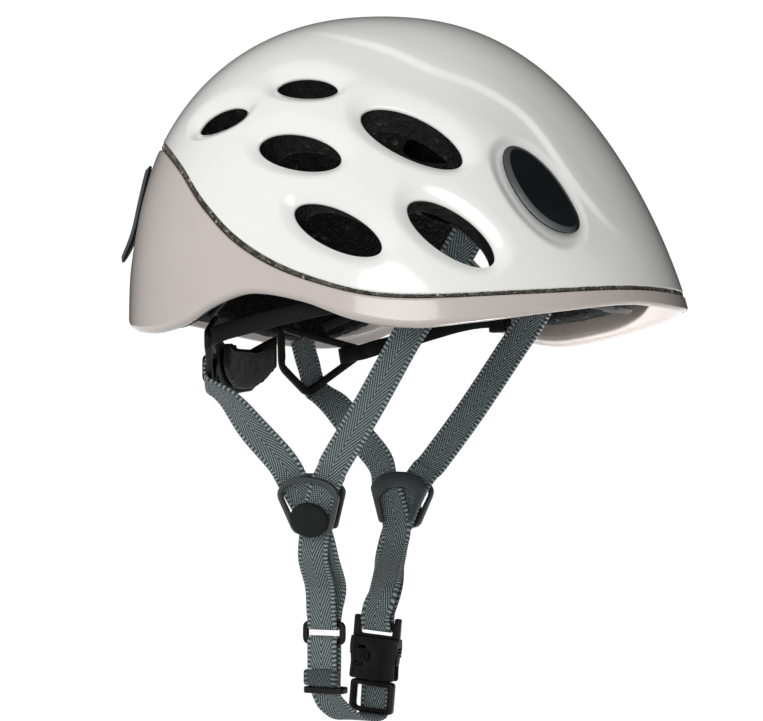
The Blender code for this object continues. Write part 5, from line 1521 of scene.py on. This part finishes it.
def bent(xs, top, bot, y_in, y_out, r, name, material, body, nodes, end=1.6, crown=0.0):
    """Plate on the cradle's curve with rounded edges."""
    M = Mesh()
    rings = []
    half_t = (y_out - y_in) / 2
    for x in xs:
        e = min(1.0, (abs(xs[-1]) - abs(x)) / end)
        e = math.sqrt(max(0.0, 1 - (1 - e) ** 2))
        zt = np.interp(abs(x), *zip(*top))
        zb = np.interp(abs(x), *zip(*bot))
        zm = (zt + zb) / 2
        hz = (zt - zb) / 2
        hz = hz - r + r * e if e < 1 else hz
        ht = half_t * (0.35 + 0.65 * e)
        ym = cradle_y(x) + (y_in + y_out) / 2
        pts = []
        for k in range(7):
            a = math.pi * k / 6
            pts.append((x, ym - ht * math.cos(a), zm + hz - r * (1 - math.sin(a)) * (ht / half_t)))
        for t in (0.25, 0.5, 0.75):
            z = zm + (hz - r) * (1 - 2 * t)
            pts.append((x, ym + ht + crown * (1 - (2 * t - 1) ** 2), z))
        for k in range(7):
            a = math.pi * k / 6
            pts.append((x, ym + ht * math.cos(a), zm - hz + r * (1 - math.sin(a)) * (ht / half_t)))
        for t in (0.25, 0.5, 0.75):
            z = zm - (hz - r) * (1 - 2 * t)
            pts.append((x, ym - ht, z))
        rings.append(M.ring(pts))
    for a, b in zip(rings[:-1], rings[1:]):
        M.join(a, b)
    M.cap(rings[0][::-1])
    M.cap(rings[-1])
    return make(name, M.v, M.f, material, body, nodes, angle=50)


bent(np.linspace(-31.4, 31.4, 85), [(0, -11.0), (13, -11.0), (31.5, -3.6)], [(0, -33.0), (13, -31.5), (31.5, -19.0)], -1.1, 1.1, 0.9,
     "cradle_plate", HARN_PAINTED_SHADE, "nape_cradle", ("nape_cradle",))
M_WH = Matrix((Vector((-1, 0, 0)), Vector((0, 0, 1)), Vector((0, 1, 0)))).transposed().to_4x4()
M_WH.translation = Vector(WHEEL)
t = np.linspace(0, 2 * np.pi, 400, endpoint=False)
kn = WHEEL_R - 0.5 + 0.5 * np.tanh(2.2 * np.cos(20 * t)) / np.tanh(2.2)
M = solid(np.stack([kn * np.cos(t), kn * np.sin(t)], -1), [oval(2.6, 2.6, 48)], -3.0, 3.0, 0.5).place(M_WH)
make("size_knob", M.v, M.f, BLACK, "size_wheel", ("size_wheel",), angle=40)
M = solid(oval(2.1, 2.1, 48), [], -3.6, 3.2, 0.3).place(M_WH)
make("knob_pin", M.v, M.f, STEEL, "nape_cradle", ("wheel_pin",), angle=40)
M = solid(box_loop(33.0, 13.0, 3.4, 120), [box_loop(14.0, 1.6, 0.7, 50, 0, 3.2), box_loop(14.0, 1.6, 0.7, 50, 0, -3.2)], 3.6, 5.2, 0.6, bevel_lo=0.2)
for sx in (-1, 1):
    solid(box_loop(2.4, 11.0, 0.6, 50, sx * 14.8, 0), [], -3.2, 4.4, 0.3, into=M)
M.place(M_WH)
make("knob_bridge", M.v, M.f, BLACK, "nape_cradle", ("wheel_bridge",), angle=40)
m = frame_of((-50.8, -62.6, 48.4), (0.35, -0.75, -0.6), (0.8, 0.5, -0.25))
M = solid(box_loop(20, 9, 2.5, 90), [box_loop(15.8, 2.6, 0.6, 60)], -1.2, 1.2, 0.4).place(m)
pair("strap_plate_{s}", M, BLACK, "hardware", "root", ["strap_anchor_{s}"])

# ------------------------------------------------------------------ comfort pads
def pad(name, node, body, cap, voxel, shrink_by):
    """Cushion from the CAD solid: remeshed, blown up a little as cloth, capped, then smoothed."""
    src = NODES[node]
    me = src.data.copy()
    ob = bpy.data.objects.new(name, me)
    SCN.collection.objects.link(ob)
    bm = bmesh.new()
    bm.from_mesh(me)
    bmesh.ops.remove_doubles(bm, verts=bm.verts, dist=1e-6)
    bmesh.ops.recalc_face_normals(bm, faces=bm.faces)
    bm.to_mesh(me)
    bm.free()
    rm = ob.modifiers.new("remesh", "REMESH")
    rm.mode = "VOXEL"
    rm.voxel_size = voxel
    dg = bpy.context.evaluated_depsgraph_get()
    base = bpy.data.meshes.new_from_object(ob.evaluated_get(dg))
    ob.modifiers.clear()
    ob.data = base
    bm = bmesh.new()
    bm.from_mesh(base)
    for _ in range(2):
        bmesh.ops.smooth_vert(bm, verts=bm.verts, factor=0.5, use_axis_x=True, use_axis_y=True, use_axis_z=True)
    bm.normal_update()
    for v in bm.verts:
        v.co -= v.normal * shrink_by
    bm.to_mesh(base)
    bm.free()
    start = np.zeros(len(base.vertices) * 3)
    base.vertices.foreach_get("co", start)
    start = start.reshape(-1, 3)
    cl = ob.modifiers.new("cloth", "CLOTH")
    cl.settings.use_pressure = True
    cl.settings.uniform_pressure_force = 4.0
    cl.settings.effector_weights.gravity = 0.0
    cl.settings.quality = 5
    cl.settings.mass = 0.2
    for f in range(1, 15):
        SCN.frame_set(f)
    dg = bpy.context.evaluated_depsgraph_get()
    done = bpy.data.meshes.new_from_object(ob.evaluated_get(dg))
    ob.modifiers.clear()
    end = np.zeros(len(done.vertices) * 3)
    done.vertices.foreach_get("co", end)
    end = end.reshape(-1, 3)
    d = end - start
    d = d - d.mean(axis=0)
    ln = np.linalg.norm(d, axis=1, keepdims=True)
    d = d * np.minimum(1.0, cap / np.maximum(ln, 1e-9))
    done.vertices.foreach_set("co", (start + d).ravel())
    ob.data = done
    SCN.frame_set(1)
    sb = ob.modifiers.new("soft", "SUBSURF")
    sb.levels = sb.render_levels = 1
    dg = bpy.context.evaluated_depsgraph_get()
    out = bpy.data.meshes.new_from_object(ob.evaluated_get(dg))
    ob.modifiers.clear()
    ob.data = out
    out.materials.clear()
    out.materials.append(PAD)
    out.shade_smooth()
    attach(ob, body)
    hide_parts(node)
    return ob


pad("brow_cushion", "pad_brow", "root", 0.0011, 0.0018, 0.0004)
pad("rear_cushion", "pad_rear", "root", 0.0011, 0.0018, 0.0004)
pad("crown_cushion", "pad_crown", "root", 0.0011, 0.0018, 0.0004)
pad("nape_cushion", "nape_pad", "nape_cradle", 0.0009, 0.0018, 0.0004)
